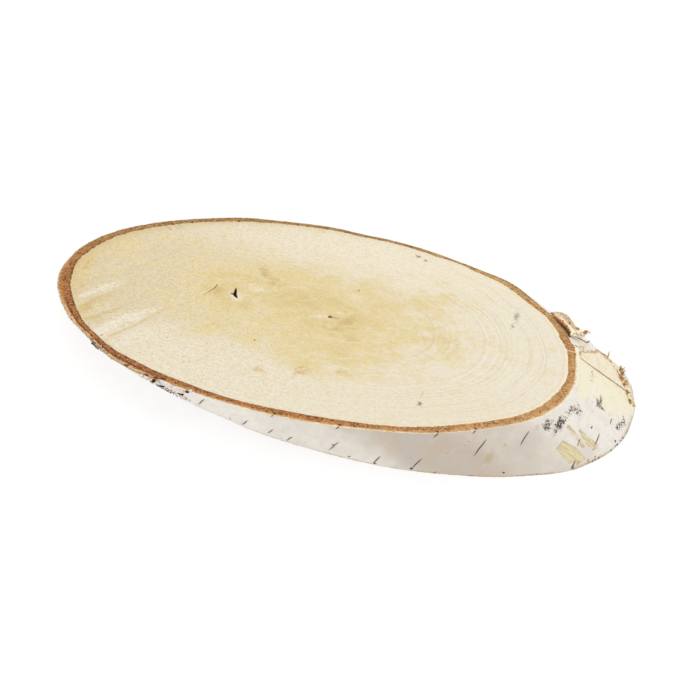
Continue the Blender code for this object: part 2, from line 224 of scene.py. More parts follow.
class Wire:                             # one output socket, with arithmetic that adds its nodes

    def __init__(self, tree, socket):
        self.tree, self.socket = tree, socket

    def node(self, kind, settings, sockets, output=0):
        fresh = self.tree.nodes.new(kind)
        for name, value in settings.items():
            setattr(fresh, name, value)
        for name, value in sockets.items():
            if isinstance(value, Wire):
                self.tree.links.new(value.socket, fresh.inputs[name])
            else:
                fresh.inputs[name].default_value = value
        return Wire(self.tree, fresh.outputs[output])

    def math(self, operation, first, second):
        return self.node("ShaderNodeMath", {"operation": operation}, {0: first, 1: second})

    def __add__(self, other):
        return self.math("ADD", self, other)

    def __radd__(self, other):
        return self.math("ADD", other, self)

    def __sub__(self, other):
        return self.math("SUBTRACT", self, other)

    def __rsub__(self, other):
        return self.math("SUBTRACT", other, self)

    def __mul__(self, other):
        return self.math("MULTIPLY", self, other)

    def __rmul__(self, other):
        return self.math("MULTIPLY", other, self)

    def __truediv__(self, other):
        return self.math("DIVIDE", self, other)

    def __pow__(self, other):
        return self.math("POWER", self, other)

    def smooth(self, low, high):        # 0 below low, 1 above high; high may be the smaller
        settings = {"interpolation_type": "SMOOTHSTEP"}
        return self.node("ShaderNodeMapRange", settings, {0: self, 1: low, 2: high})

    def mix(self, first, second):       # self is the second colour's share
        return self.node("ShaderNodeMix", {"data_type": "RGBA"}, {0: self, 6: first, 7: second}, 2)

    def shade(self, amount):            # a colour times a number
        if not isinstance(amount, Wire):
            amount = (amount, amount, amount, 1)
        return self.node("ShaderNodeMix", {"data_type": "RGBA", "blend_type": "MULTIPLY"},
                         {0: 1.0, 6: self, 7: amount}, 2)

    def sway(self, amount):             # noise about 0.5, made to swing about 0
        return (self - 0.5) * amount

    def peak(self, middle, width, full=1.0):        # 1 at the middle, 0 past the width on both sides
        return (1 - ((self - middle) / width) ** 2.0).smooth(0, full)

    def axis(self, number):
        return self.node("ShaderNodeSeparateXYZ", {}, {0: self}, number)

    def stretch(self, x, y, z):
        return self.node("ShaderNodeVectorMath", {"operation": "MULTIPLY"}, {0: self, 1: (x, y, z)})

    def clouds(self, size, detail=3.0, roughness=0.5, distortion=0.0):      # noise about 0.5
        return self.node("ShaderNodeTexNoise", {}, {"Vector": self, "Scale": 1 / size, "Detail": detail,
                                                    "Roughness": roughness, "Distortion": distortion})


def tint(red, green, blue):             # a screen colour from 0 to 255, made linear
    shares = [channel / 255 for channel in (red, green, blue)]
    linear = [c / 12.92 if c <= 0.04045 else ((c + 0.055) / 1.055) ** 2.4 for c in shares]
    return (*[c * room["paintLevel"] for c in linear], 1.0)


# a material, its shader, and places in millimetres: in the scene, and along the log
def newMaterial(name, roughness, gloss):
    material = bpy.data.materials.new(name)
    material.use_nodes = True
    tree = material.node_tree
    shader = tree.nodes["Principled BSDF"]
    shader.inputs["Roughness"].default_value = roughness
    shader.inputs["Specular IOR Level"].default_value = gloss
    place = Wire(tree, tree.nodes.new("ShaderNodeTexCoord").outputs["Object"])
    place = place.stretch(1 / mm, 1 / mm, 1 / mm)
    moved = (-half * sinSlant, 0, -half * cosSlant)
    turned = (0, trunk["slant"], 0)
    inLog = place.node("ShaderNodeMapping", {}, {"Vector": place, "Location": moved, "Rotation": turned})
    return material, shader, place, inLog


def feed(shader, socket, wire):
    wire.tree.links.new(wire.socket, shader.inputs[socket])


def reading(place, name):               # a value stored on the piece's points
    return place.node("ShaderNodeAttribute", {"attribute_name": name}, {}, 2)


def readings(place, *names):
    return [reading(place, name) for name in names]


def relief(shader, height, depth):      # height from 0 to 1, depth in millimetres
    bump = height.node("ShaderNodeBump", {}, {"Strength": 1.0, "Distance": depth * mm, "Height": height})
    feed(shader, "Normal", bump)


room = {
    "floorSize": 6.0,                   # metres
    "worldStrength": 0.97,
    "gap": 0.1,                         # the floor lies this much under the slab
    "floorPaint": 0.36,
    "floorGlow": 0.64,                  # a light table, so that the shadows stay faint
    "paintLevel": 0.93,                 # how bright paint is that looks as it does on the screen
    "key": {"place": (-0.15, 0.5, 1.5), "size": 1.8, "power": 4.5},
    "side": {"place": (-1.2, -0.5, 0.8), "size": 1.2, "power": 1.5},
}


def softbox(name, place, size, power):
    data = bpy.data.lights.new(name, "AREA")
    data.shape = "DISK"
    data.size = size
    data.energy = power
    lamp = bpy.data.objects.new(name, data)
    lamp.location = place
    lamp.rotation_euler = (-Vector(place)).to_track_quat("-Z", "Y").to_euler()
    bpy.context.scene.collection.objects.link(lamp)


def dressRoom():
    shape = bmesh.new()
    bmesh.ops.create_grid(shape, x_segments=1, y_segments=1, size=room["floorSize"] / 2,
                          matrix=Matrix.Translation((0, 0, -room["gap"] * mm)))
    mesh = bpy.data.meshes.new("floor")
    shape.to_mesh(mesh)
    shape.free()
    floor = bpy.data.objects.new("floor", mesh)
    bpy.context.scene.collection.objects.link(floor)
    material, shader, _, _ = newMaterial("paleFloor", 0.9, 0.0)
    shader.inputs["Base Color"].default_value = (*[room["floorPaint"]] * 3, 1)
    shader.inputs["Emission Color"].default_value = (1, 1, 1, 1)
    shader.inputs["Emission Strength"].default_value = room["floorGlow"]
    mesh.materials.append(material)
    world = bpy.data.worlds.new("room")
    world.use_nodes = True
    light = world.node_tree.nodes["Background"]
    light.inputs["Color"].default_value = (1, 1, 1, 1)
    light.inputs["Strength"].default_value = room["worldStrength"]
    bpy.context.scene.world = world
    for name in ("key", "side"):
        softbox(name, **room[name])
    bpy.context.scene.view_settings.view_transform = "Standard"


placeCamera()
dressRoom()
print("birch slice: camera, floor and light")


# the sawn wood; places on the cut are x, y from the middle of the upper oval
wood = {
    "faces": (330, 165),
    "lowFaces": (210, 105),
    "lip": 1.5,                         # marks of the two rings of points below the cut's edge, which is 1
    "wall": 2.0,
    "wallPart": 2.2,                    # the wall ends at this part of the thickness
    "pith": (5.1, -0.5),                # across the log
    "knot": (-30.3, 1.1),
    "arms": ((-30.9, 4.2), (-31.8, 0.8), (-28.6, -0.8)),
    "check": ((-38.6, 3.9), (-39.1, 1.6), (-40.1, -0.6), (-41.5, -2.9)),
    "pithMark": ((8.3, -0.5), (9.2, -0.65), (11.8, -0.7)),
    "dots": ((14.8, 16.9), (-14.1, -20.6), (-68.1, -34.4)),
    "armCut": (0.72, 1.6, 1.0),         # width, depth and darkness
    "checkCut": (0.3, 0.6, 0.45),
    "pithCuts": ((0.75, 0.5, 0.6), (0.4, 0.3, 0.3)),
    "dotCut": (0.4, 0.2, 0.8),
    "refineWithin": 2.2,
    "grooveWidth": 0.2,
    "grooveDepth": 0.14,
}
# soft spots of colour: x, y, half sizes, turn, strength
woodSpots = {
    "heart": ((6, 0, 42, 22, 0, 0.75), (-14, 9, 30, 18, 5, 0.4), (-37, -2, 12, 20, 0, 0.45),
              (2, -19, 36, 9, 0, 0.35), (30, 4, 28, 20, 0, 0.15), (-92, -2, 4, 14, 8, 0.75),
              (-80, 8, 9, 12, 20, 0.3), (-78, -24, 6, 6, -40, 0.5), (-60, 14, 22, 18, 10, 0.22),
              (-84, 18, 8, 9, 40, 0.25), (55, -3, 9, 9, 0, 0.25), (40, 20, 18, 8, 0, 0.2),
              (14, -28, 18, 5, 5, 0.3)),
    "stain": ((-22.5, 15.2, 6.5, 2.0, -42, 0.85), (-16.5, 12, 4, 2.5, -20, 0.45),
              (-24, 19.5, 2, 4, 10, 0.35), (0.5, 7, 12, 6, -10, 0.35), (-4.5, 3.2, 7, 3.5, 0, 0.3),
              (15.8, -0.8, 4.6, 5.5, 10, 0.75), (10.5, -7, 7, 3, 0, 0.5),
              (18.6, -11.5, 6, 2.6, 10, 0.45), (-38.5, 1.8, 4.5, 4.0, 0, 0.75),
              (-24, -4, 4.5, 5.5, 0, 0.4), (-35.5, -17, 4.5, 2.2, -15, 0.5), (-29, -15, 4, 3, 20, 0.35),
              (-12.5, 6, 6, 4, 0, 0.25), (32.6, -9.7, 5, 3.5, 20, 0.35), (45.4, -2, 2.4, 8, -5, 0.4),
              (55, -1.5, 4.5, 5, 0, 0.45), (-8.3, -34.6, 4, 2.0, 28, 1.1),
              (6.9, -30.2, 3.6, 2.4, 42, 1.05), (21, -27, 6, 1.4, 10, 0.55),
              (33.4, -23.6, 4, 1.2, 12, 0.5), (22.8, -19.3, 8, 2, 5, 0.3), (-1.3, -17.5, 7, 3, 0, 0.25),
              (-91.5, 1, 2.6, 9, 12, 0.6), (-88, -11, 2.4, 5, 20, 0.45),
              (-80, -23.5, 3.2, 3.6, 30, 0.8), (-73, -28, 3, 2.4, -40, 0.5),
              (-43, 30.5, 5, 1.0, 16, 0.4), (29, -2.6, 4, 4, 0, 0.2), (40, 9, 10, 3, -15, 0.2),
              (-54, 22, 9, 4, 15, 0.15)),
    "pale": ((5.0, -1.4, 4.6, 2.0, 0, 0.9), (11.5, 2.3, 3.6, 1.6, -15, 0.8),
             (-26.5, 1.0, 3.4, 3.0, 0, 0.6), (-23.5, 6.6, 5.5, 2.4, -10, 0.9),
             (14.8, 12.6, 5.5, 3, -10, 0.7), (2.5, -13.4, 8, 2.0, 0, 0.5), (-18, -13, 9, 2.4, 0, 0.5),
             (32.6, 8.8, 5, 2, 30, 0.4), (-9.7, -26.9, 8, 3, 10, 0.4), (-83, 3, 2.6, 9, 14, 0.5),
             (-77, -10.5, 7, 1.6, 62, 0.9), (-59, -19.5, 8, 2.6, 52, 0.9), (-62, -28, 7, 3.4, 45, 0.6),
             (52, -6, 1.2, 8, -8, 0.4), (-50, -2, 5, 10, 20, 0.3)),
    "smudge": ((75.5, 20, 1.4, 3.5, 5, 0.9), (74.7, 14.5, 0.9, 2, 0, 0.8),
               (50.4, -33.3, 1.0, 1.2, 0, 1.2), (50.0, -28.5, 0.7, 2.6, 5, 0.7),
               (32, 43.9, 1.3, 1.3, 0, 1.1), (35.6, 42.2, 1.1, 0.9, -20, 1.0)),
}
# streaks across the left end: line, width, strength
bands = {
    "tan": ((((-65, -34), (-58.1, -25.2), (-52.3, -15.2), (-47, -8)), 0.9, 0.85),
            (((-77.5, -28.5), (-70.3, -21.6), (-66.4, -16.3), (-59, -9)), 1.4, 0.95),
            (((-83, -25), (-79.5, -17.5), (-74, -10)), 1.5, 1.0),
            (((-79, -22), (-69, -6), (-60, 3)), 3.0, 0.4),
            (((-89, -16), (-84, -4), (-76, 8)), 2.0, 0.5), (((-92, -2), (-86, 8), (-74, 18)), 2.6, 0.5),
            (((-70, 14), (-58, 24), (-40, 32)), 4.0, 0.25)),
    "white": ((((-70.5, -34), (-64.8, -24.2), (-54.3, -13.3)), 2.8, 1.0),
              (((-85, -17), (-78, -8.5), (-70, 1)), 1.6, 0.9),
              (((-60, -36), (-52, -27), (-38, -20)), 5.0, 0.6), (((-76, -27), (-69, -15)), 0.9, 0.5),
              (((-80, 2), (-70, 12), (-55, 20)), 2.2, 0.4)),
}


# growth rings that show more than the rest: radius, half width, strength
strongRings = ((22.3, 0.45, 0.3), (33.0, 0.35, 0.2), (37.5, 0.3, 0.22), (45.6, 0.3, 0.2))


def woodEdge(angle, share):             # radius of the wood's uneven edge
    clean = trunkRadius(angle, share) - trunk["barkWidth"] - bells(angle, trunk["barkRises"])
    turn = np.radians(angle)
    place = np.stack([clean * np.cos(turn) / cosSlant, clean * np.sin(turn), 40 * share + 0 * turn], axis=-1)
    torn = 1 + 1.8 * bells(angle, ((120, 1, 50), (172, 0.6, 25)))
    return clean + 0.15 * torn * rough(place, 0.7, 3) + 0.14 * rough(place, 3.5, 2, 7.0)


def ringRadius(across, up, angle):      # which growth ring a point of the cross-section lies on
    pithX, pithY = wood["pith"]
    size = np.hypot(across, up)
    for _ in range(3):
        left = 1 - np.clip(size / 50, 0, 1)
        size = np.hypot(across - pithX * left, up - pithY * left)
    outline = (trunkRadius(angle, 1) - trunk["barkWidth"] - bells(angle, trunk["barkRises"])) / 50
    return size / (1 + (outline - 1) * np.clip(size / 50, 0, 1))


def crackDepths(x, y):                  # of the knot's arms, the check, the pith and the pits
    deep, dark = np.zeros(np.shape(x)), np.zeros(np.shape(x))
    wobble = 0.1 * rough(np.stack([x, y, 0 * x], axis=-1), 0.7, 2, 3.0)
    pithLines = wood["pithMark"][:2], wood["pithMark"][1:]
    strokes = [((wood["knot"], arm), *wood["armCut"]) for arm in wood["arms"]]
    strokes += [(wood["check"], *wood["checkCut"])]
    strokes += [(line, *cut) for line, cut in zip(pithLines, wood["pithCuts"])]
    strokes += [((dot, (dot[0] + 0.1, dot[1])), *wood["dotCut"]) for dot in wood["dots"]]
    for line, width, depth, darkness in strokes:
        distance, along = strokeDistance(x, y, line)
        wide = width * (1 - 0.65 * along ** 1.5)
        inside = 1 - smoothStep(0.45, 1.25, (distance + wobble) / wide)
        deep = np.maximum(deep, depth * inside)
        dark = np.maximum(dark, darkness * inside)
    return deep, dark


def sawnShape():                        # two cut faces, each with a lip and a wall, joined inside the bark
    shape = bmesh.new()
    for (columns, rows), level in ((wood["faces"], 1), (wood["lowFaces"], -1)):
        made = bmesh.ops.create_grid(shape, x_segments=columns, y_segments=rows, size=1)["verts"]
        for v in made:
            v.co.z = level
    for v in shape.verts:               # square to disc, halfway between an elliptic and a plain stretch
        a, b = v.co.x, v.co.y
        bentA, bentB = a * math.sqrt(1 - b * b / 2), b * math.sqrt(1 - a * a / 2)
        reach = (math.hypot(bentA, bentB) + max(abs(a), abs(b))) / 2
        turn = (math.atan2(bentB, bentA) + math.atan2(b, a)) / 2
        v.co.x, v.co.y = reach * math.cos(turn), reach * math.sin(turn)
    border = [edge for edge in shape.edges if len(edge.link_faces) == 1]
    for mark in (wood["lip"], wood["wall"]):
        pushed = bmesh.ops.extrude_edge_only(shape, edges=border)["geom"]
        border = [item for item in pushed if isinstance(item, bmesh.types.BMEdge)]
        for v in {v for edge in border for v in edge.verts}:
            flat = math.hypot(v.co.x, v.co.y)
            v.co.x, v.co.y = v.co.x / flat * mark, v.co.y / flat * mark
    bmesh.ops.bridge_loops(shape, edges=border)

    raw = corners(shape)
    share = np.hypot(raw[:, 0], raw[:, 1])
    angle = np.degrees(np.arctan2(raw[:, 1], raw[:, 0]))
    level = (raw[:, 2] > 0) * 1.0
    onLip = share > (1 + wood["lip"]) / 2
    onWall = share > (wood["lip"] + wood["wall"]) / 2
    edge = woodEdge(angle, level)
    radius = np.where(onLip, edge, np.minimum(share, 1) * (edge - wood["grooveWidth"]))
    sink = onLip * wood["grooveDepth"] + onWall * trunk["thickness"] / wood["wallPart"]
    z = np.where(level > 0, trunk["thickness"] - sink, sink)
    moveTo(shape.verts, logPoint(angle, radius, z))
    return shape


def cutPlace(points):                   # x, y from the middle of the oval at each point's height
    return points[:, 0] + (points[:, 2] - half) * tanSlant, points[:, 1]


def refineCracks(shape):                # finer faces round the cracks and pits
    points = corners(shape)
    x, y = cutPlace(points)
    near = np.full(len(points), 1e9)
    for line in (*[(wood["knot"], arm) for arm in wood["arms"]], wood["check"], wood["pithMark"]):
        near = np.minimum(near, strokeDistance(x, y, line)[0])
    for dotX, dotY in wood["dots"]:
        near = np.minimum(near, np.hypot(x - dotX, y - dotY) + wood["refineWithin"] / 2)
    chosen = (points[:, 2] > trunk["thickness"] - 0.01) & (near < wood["refineWithin"])
    shape.verts.ensure_lookup_table()
    fine = [e for e in shape.edges if chosen[e.verts[0].index] and chosen[e.verts[1].index]]
    bmesh.ops.subdivide_edges(shape, edges=fine, cuts=3, use_grid_fill=True)


def streakStrength(x, y, streaks):      # fades along each streak
    total = 0 * x
    for line, width, strength in streaks:
        distance, along = strokeDistance(x, y, line)
        total += strength * bell(distance, width) * (1 - 0.85 * along ** 2)
    return total


def sawnWood(material):
    shape = sawnShape()
    refineCracks(shape)
    bmesh.ops.recalc_face_normals(shape, faces=shape.faces)
    points = corners(shape)
    angle, radius, _ = logFrame(points)
    across, up = radius * np.cos(np.radians(angle)), radius * np.sin(np.radians(angle))
    level = np.where(points[:, 2] > half, 1.0, -1.0)
    x, y = cutPlace(points)
    flat = np.stack([across, up, 30 * level], axis=-1)
    deep, dark = crackDepths(x, y)
    deep, dark = deep * (level > 0), dark * (level > 0)
    chatter = 0.018 * np.sin(math.tau * (x / 7.3 + 0.35 * rough(flat, 20, 1)))      # marks of the saw's teeth
    wave = 0.05 * rough(flat, 16, 2) + chatter
    flatPart = np.abs(points[:, 2] - half) > half - wood["grooveDepth"] - 0.05
    points[:, 2] += level * np.where(flatPart, wave - 0.05, 0) - deep
    values = {name: spots(x, y, places) for name, places in woodSpots.items()}
    values.update({name: streakStrength(x, y, streaks) for name, streaks in bands.items()})
    values["crack"] = dark
    # beside the check: its pale fibre lip, painted brighter as a highlight
    values["checkLipAndHighlight"] = bell(strokeDistance(x + 0.55, y - 0.15, wood["check"])[0], 0.55)
    values["knotHalo"] = bell(strokeDistance(x, y, (wood["knot"], wood["arms"][2]))[0], 2.6)
    values["ring"] = ringRadius(across, up, angle)
    finishPiece("sawnWood", shape, points, values, material)


def woodMaterial():
    material, shader, place, inLog = newMaterial("sawnBirch", 0.62, 0.25)
    ring, heart, stain, pale = readings(place, "ring", "heart", "stain", "pale")
    white, tan, smudge, crack = readings(place, "white", "tan", "smudge", "crack")
    section = inLog.stretch(1, 1, 0.06)             # what is seen on a cut runs on along the log
    east = section.axis(0)
    north = section.axis(1)
    mottle = section.clouds(7, 5, 0.65)
    patch = section.clouds(2.6, 5, 0.7, 0.8)
    fibre = place.stretch(0.62, 1.3, 1).clouds(1.25, 4, 0.8)        # short fibres cut across
    pore = place.stretch(0.8, 1.2, 1).clouds(0.6, 2, 0.8)

    side = east.smooth(-42, 42)
    sap = side.mix(tint(222, 206, 171), tint(236, 227, 206))
    sap = (north.smooth(12, 38) * east.smooth(-75, 15)).mix(sap, tint(239, 229, 205))
    low = north.smooth(-12, -34) * east.smooth(-42, -22)
    sap = low.mix(sap, tint(234, 224, 200))
    tide = heart + (mottle - 0.5) * 1.6 + (patch - 0.5) * 1.7 + (fibre - 0.5) * 0.7
    colour = tide.smooth(0.1, 0.75).mix(sap, tint(230, 212, 163))
    colour = (tide.smooth(0.5, 1.25) * 0.75).mix(colour, tint(220, 198, 140))
    broken = patch.smooth(0.37, 0.63)
    stained = stain * (0.3 + broken * 0.75) + fibre.sway(1.1) + patch.sway(0.7)
    colour = (stained.smooth(0.12, 1.05) * 0.9).mix(colour, tint(206, 174, 112))
    paled = pale * (0.35 + broken * 0.7) + fibre.sway(0.9) + mottle.sway(0.5)
    colour = (paled.smooth(0.12, 1.0) * 0.75).mix(colour, tint(241, 232, 212))
    drift = (patch - 0.5) * 0.9 + (fibre - 0.5) * 0.6
    colour = ((white + drift).smooth(0.1, 1.1) * 0.85).mix(colour, tint(240, 232, 216))
    colour = ((tan + drift).smooth(0.15, 1.15) * 0.8).mix(colour, tint(211, 184, 126))
    blush = section.clouds(4.4, 4, 0.6).smooth(0.56, 0.72)
    colour = (blush * 0.35).mix(colour, tint(237, 216, 194))

    years = ring + (section.clouds(5, 3) - 0.5) * 1.0
    line = place.node("ShaderNodeTexNoise", {"noise_dimensions": "1D"},
                      {"W": years, "Scale": 1.0, "Detail": 2.0, "Roughness": 0.7})
    ringShow = (section.clouds(9, 3).smooth(0.36, 0.62) * 0.7 + 0.3) * (0.4 + 0.6 * east.smooth(8, 30))
    colour = (line.smooth(0.55, 0.7) * ringShow * 0.22).mix(colour, tint(210, 188, 142))
    colour = (line.smooth(0.46, 0.34) * ringShow * 0.3).mix(colour, tint(243, 236, 218))
    for middle, width, strength in strongRings:
        colour = (years.peak(middle, width) * ringShow * strength).mix(colour, tint(204, 180, 130))

    bowed = place.node("ShaderNodeTexWave", {"bands_direction": "X", "wave_profile": "SIN"},
                       {"Vector": place.stretch(1, -0.26, 0), "Scale": 0.27, "Distortion": 3.0, "Detail": 2.0,
                        "Detail Scale": 0.3})
    saw = (bowed - 0.5) * place.clouds(12, 3).smooth(0.38, 0.66) * (1.15 - 0.7 * side)
    coarse = 1.45 - 0.85 * side                     # the left end is sawn rougher
    grain = 0.975 + coarse * ((fibre - 0.5) * 0.62 + (pore - 0.5) * 0.5) + saw * 0.05
    colour = colour.shade(1 + (grain - 1) * 0.6)
    colour = (((1 - grain) * 4.0).smooth(0.0, 1.0) * 0.45).mix(colour, tint(202, 174, 118))
    flecks = place.stretch(0.8, 1.2, 1).clouds(0.95, 2, 0.6).smooth(0.64, 0.71)
    colour = (flecks * coarse * 0.35).mix(colour, tint(184, 152, 98))
    colour = (reading(place, "knotHalo").smooth(0.25, 0.9) * 0.7).mix(colour, tint(238, 221, 198))
    # the check's pale fibre lip with a painted highlight
    colour = (reading(place, "checkLipAndHighlight") * 0.6).mix(colour, tint(240, 222, 160))
    smudgeShare = (smudge * 0.7 + place.clouds(1.1, 3, 0.75).sway(1.6)).smooth(0.25, 0.8)
    colour = (smudgeShare * smudge.smooth(0.05, 0.3) * 0.85).mix(colour, tint(132, 124, 110))
    wavering = ring + place.clouds(1.8, 3, 0.7).sway(1.2)
    rimLight = wavering.smooth(49.5, 49.9) * 0.7 * side
    colour = rimLight.mix(colour, tint(247, 234, 196))
    rimTan = wavering.smooth(46.0, 50.0) * (1 - side) * north.smooth(-26, -4)
    colour = (rimTan * 0.5).mix(colour, tint(206, 176, 116))
    rimLine = wavering.smooth(49.7, 50.1) * (1 - side) * north.smooth(25, -5)
    colour = (rimLine * 0.6).mix(colour, tint(150, 106, 62))
    # the cracks' own brown, then near black in the knot's arms and the pits: painted shade inside these cut
    # recesses
    colour = crack.smooth(0.1, 0.5).mix(colour, tint(128, 88, 56))
    colour = crack.smooth(0.5, 0.9).mix(colour, tint(40, 24, 16))
    feed(shader, "Base Color", colour)
    feed(shader, "Roughness", 0.58 + fibre * 0.2)
    relief(shader, fibre * 0.55 + saw * 0.3 + pore * 0.35 + bowed * 0.1, 0.12)
    return material


# the brown inner bark, a granular ring round the wood
ringBark = {
    "columns": 2200,
    "topRows": 14,
    "lowRows": 5,
    "overlap": 0.12,                    # how far it reaches under the wood's edge
    "reach": 0.10,                      # how far inside the bark its upper edge stays
    "tuck": 0.50,                       # the same for its outer wall
    "wallTop": 0.965,                   # where that wall starts, as a share of the height
    "grain": 0.62,
    "relief": 0.13,
    "crackAngle": 8.2,
    "markLength": 0.7,
    "bump": (11.8, 0.8, 1.0),           # angle, height, half width
    "strip": ((-149, 0.5, 8), (-134, 1, 13), (-118, 0.4, 4)),      # where its outer part is pale
    # dark spots in it: angle, share of the way out, half width
    "marks": ((-87.4, 0.9, 0.3), (-74.4, 0.9, 0.32), (-55.0, 0.9, 0.32), (-46.4, 0.92, 0.28),
              (-112.4, 0.75, 0.7), (-113.6, 0.9, 0.5), (-115.6, 1.0, 0.6), (-121, 0.95, 0.6),
              (100, 0.1, 0.5), (118, 0.05, 0.4), (123, 0.1, 0.5), (127, 0.05, 0.35), (131, 0.1, 0.4),
              (137, 0.1, 0.5), (141, 0.05, 0.4)),
}


def oldBarkSwell(angle, z):             # how far the rough bark at the left front stands out
    return bells(angle, ((-114.5, 1, 4.5),)) * smoothStep(2, 9, z)


def paperShows(angle):                  # how wide the skin's pale edge shows beside the ring
    return 0.3 * bells(angle, ((-76, 1, 36),)) + 0.2 * bells(angle, ((-8, 1, 26),))


def dryingCrack(angle, radius):         # distance from the thin crack across the ring
    turn = np.radians(angle - ringBark["crackAngle"])
    here = np.abs(turn) < 0.3
    return np.where(here, radius * np.sin(turn) + 0.25 * np.sin(radius * 2.1), 9.0)


def ringMarks(angle, out):
    marks = np.zeros(len(angle))
    for middle, share, size in ringBark["marks"]:
        aside, outwards = (angle - middle) * degreeArc, (out - share) * trunk["barkWidth"]
        marks = np.maximum(marks, bell(aside, size) * bell(outwards, ringBark["markLength"]))
    return marks


def innerBark(material):
    tops, lows = ringBark["topRows"], ringBark["lowRows"]
    rows = tops + lows + 3
    shape = bmesh.new()
    bmesh.ops.create_grid(shape, x_segments=ringBark["columns"], y_segments=rows, size=0.5)
    raw = corners(shape)
    angle = (raw[:, 0] + 0.5) * 360 - 180
    angle = np.where(angle > 179.999, -180, angle)
    station = (raw[:, 1] + 0.5) * rows
    # round the section: up the inner wall, across the top, down the outer wall, back across the underside
    knots = [0, 1, 1 + tops, 2 + tops, 3 + tops, 3 + tops + lows]
    out = np.interp(station, knots, [0, 0, 1, 1, 1, 0])
    level = np.interp(station, knots, [0, 1, 1, ringBark["wallTop"], 0, 0])
    tucked = np.interp(station, knots, [0, 0, 0, 1, 1, 1])
    upper = level > 0.5
    inner = np.where(upper, woodEdge(angle, 1), woodEdge(angle, 0)) - ringBark["overlap"]
    reach = ringBark["reach"] + paperShows(angle)
    outer = trunkRadius(angle, level) - reach - np.maximum(ringBark["tuck"] - reach, 0) * tucked
    bumpAt, bumpHeight, bumpWidth = ringBark["bump"]
    outer = outer + bumpHeight * np.exp(-((angle - bumpAt) / bumpWidth) ** 4) * upper
    radius = inner + (outer - inner) * out
    points = logPoint(angle, radius, level * trunk["thickness"])
    grit = 0.6 * rough(points, ringBark["grain"], 2) + 0.5 * rough(points, 2.1, 2, 5.0)
    edgeDrop = 0.14 * np.exp(-(radius - inner) / 0.22) + 0.08 * np.exp(-(outer - radius) / 0.3)
    seam = dryingCrack(angle, radius)
    crack = bell(seam, 0.16) * upper
    side = np.where(upper, 1.0, -1.0)
    points[:, 2] += side * (ringBark["relief"] * grit - edgeDrop - 0.06) - 0.4 * crack
    moveTo(shape.verts, points)
    values = {"grit": grit, "seam": seam, "outShare": out, "strip": bells(angle, ringBark["strip"]),
              "marks": ringMarks(angle, out)}
    layers = {name: shape.verts.layers.float.new(name) for name in values}
    for name, layer in layers.items():
        store(shape.verts, layer, values[name])
    bmesh.ops.remove_doubles(shape, verts=shape.verts, dist=1e-4)
    bmesh.ops.recalc_face_normals(shape, faces=shape.faces)
    finishPiece("innerBark", shape, corners(shape), {}, material)


def ringMaterial():
    material, shader, place, inLog = newMaterial("innerBark", 0.85, 0.15)
    grit, seam, out, marks, pale = readings(place, "grit", "seam", "outShare", "marks", "strip")
    east = inLog.axis(0)
    north = inLog.axis(1)
    side = (east + (place.clouds(6, 3) - 0.5) * 26).smooth(2, 48)
    far = north.smooth(-20, 40)
    colour = far.mix(tint(182, 122, 74), (1 - side).mix(tint(200, 164, 112), tint(182, 140, 88)))
    colour = (side * (1 - 0.75 * far)).mix(colour, tint(203, 156, 105))
    fine = place.clouds(0.7, 3, 0.85)
    grains = place.node("ShaderNodeTexVoronoi", {}, {"Vector": place, "Scale": 1.25, "Randomness": 1.0})
    blotch = place.clouds(3.2, 3, 0.6)
    colour = blotch.smooth(0.35, 0.65).mix(colour.shade(0.86), colour.shade(1.12))
    ragged = out + (place.clouds(1.3, 3, 0.7) - 0.5) * 0.5
    outerPart = ragged.smooth(0.5, 0.8) * (1 - far * 0.6)
    colour = (outerPart * 0.5).mix(colour, side.mix(tint(212, 150, 86), tint(222, 176, 122)))
    pit = (0.5 - (fine - 0.5) * 2.6 - grit * 0.45 + (grains - 0.4) * 0.6).smooth(0.4, 1.05)
    colour = (pit * 0.85).mix(colour, side.mix(tint(88, 46, 24), tint(134, 86, 50)))
    light = ((fine - 0.5) * 2.6 + grit * 0.4 - (grains - 0.4) * 0.4).smooth(0.15, 0.8)
    colour = (light * 0.8).mix(colour, side.mix(tint(232, 188, 136), tint(236, 202, 150)))
    strip = (pale * ragged.smooth(0.64, 0.78)).smooth(0.1, 0.7)
    paler = fine.smooth(0.35, 0.6).mix(tint(196, 146, 92), tint(234, 212, 176))
    colour = (strip * 0.85).mix(colour, paler)
    layer = out + place.clouds(1.3, 3, 0.7).sway(0.16)
    dots = place.clouds(0.8, 3, 0.8).smooth(0.4, 0.52)
    border = layer.peak(0.55, 0.075, 0.6) * (0.35 + dots * 0.65)
    colour = (pale.smooth(0.05, 0.5) * border * 0.9).mix(colour, tint(88, 44, 26))
    second = pale * ragged.smooth(0.84, 0.88) * ragged.smooth(0.96, 0.92)
    colour = (second * blotch.smooth(0.42, 0.55) * 0.7).mix(colour, tint(122, 78, 46))
    paleRim = ragged.smooth(0.9, 0.98) * side * (1 - far)
    colour = (paleRim * 0.6).mix(colour, tint(238, 210, 164))
    colour = (ragged.smooth(0.14, 0.02) * 0.8 * side).mix(colour, tint(246, 226, 176))
    inner = ragged.smooth(0.2, 0.02) * place.clouds(1.2, 3, 0.7).smooth(0.42, 0.55)
    colour = (inner * (1.1 - side) * (1 - far * 0.6)).mix(colour, tint(104, 62, 32))
    tanLine = ragged.smooth(0.84, 0.94) * (1 - side) * (1 - far * 0.5)
    colour = (tanLine * 0.6).mix(colour, tint(230, 186, 120))
    dark = ragged.smooth(0.78, 0.88) * ragged.smooth(1.0, 0.92) * (1 - pale)
    colour = (dark * far * 0.8).mix(colour, tint(116, 74, 40))
    colour = (marks.smooth(0.25, 0.7) * 0.9).mix(colour, tint(92, 48, 30))
    colour = (seam.peak(0.42, 0.3, 0.7) * 0.85).mix(colour, tint(238, 212, 172))
    # painted shadow along one side of the thin crack across the ring
    colour = (seam.peak(-0.16, 0.26, 0.7) * 0.9).mix(colour, tint(84, 48, 28))
    feed(shader, "Base Color", colour)
    feed(shader, "Roughness", 0.95 - fine * 0.2)
    relief(shader, fine * 0.7 + grains * 0.4, 0.25)
    return material


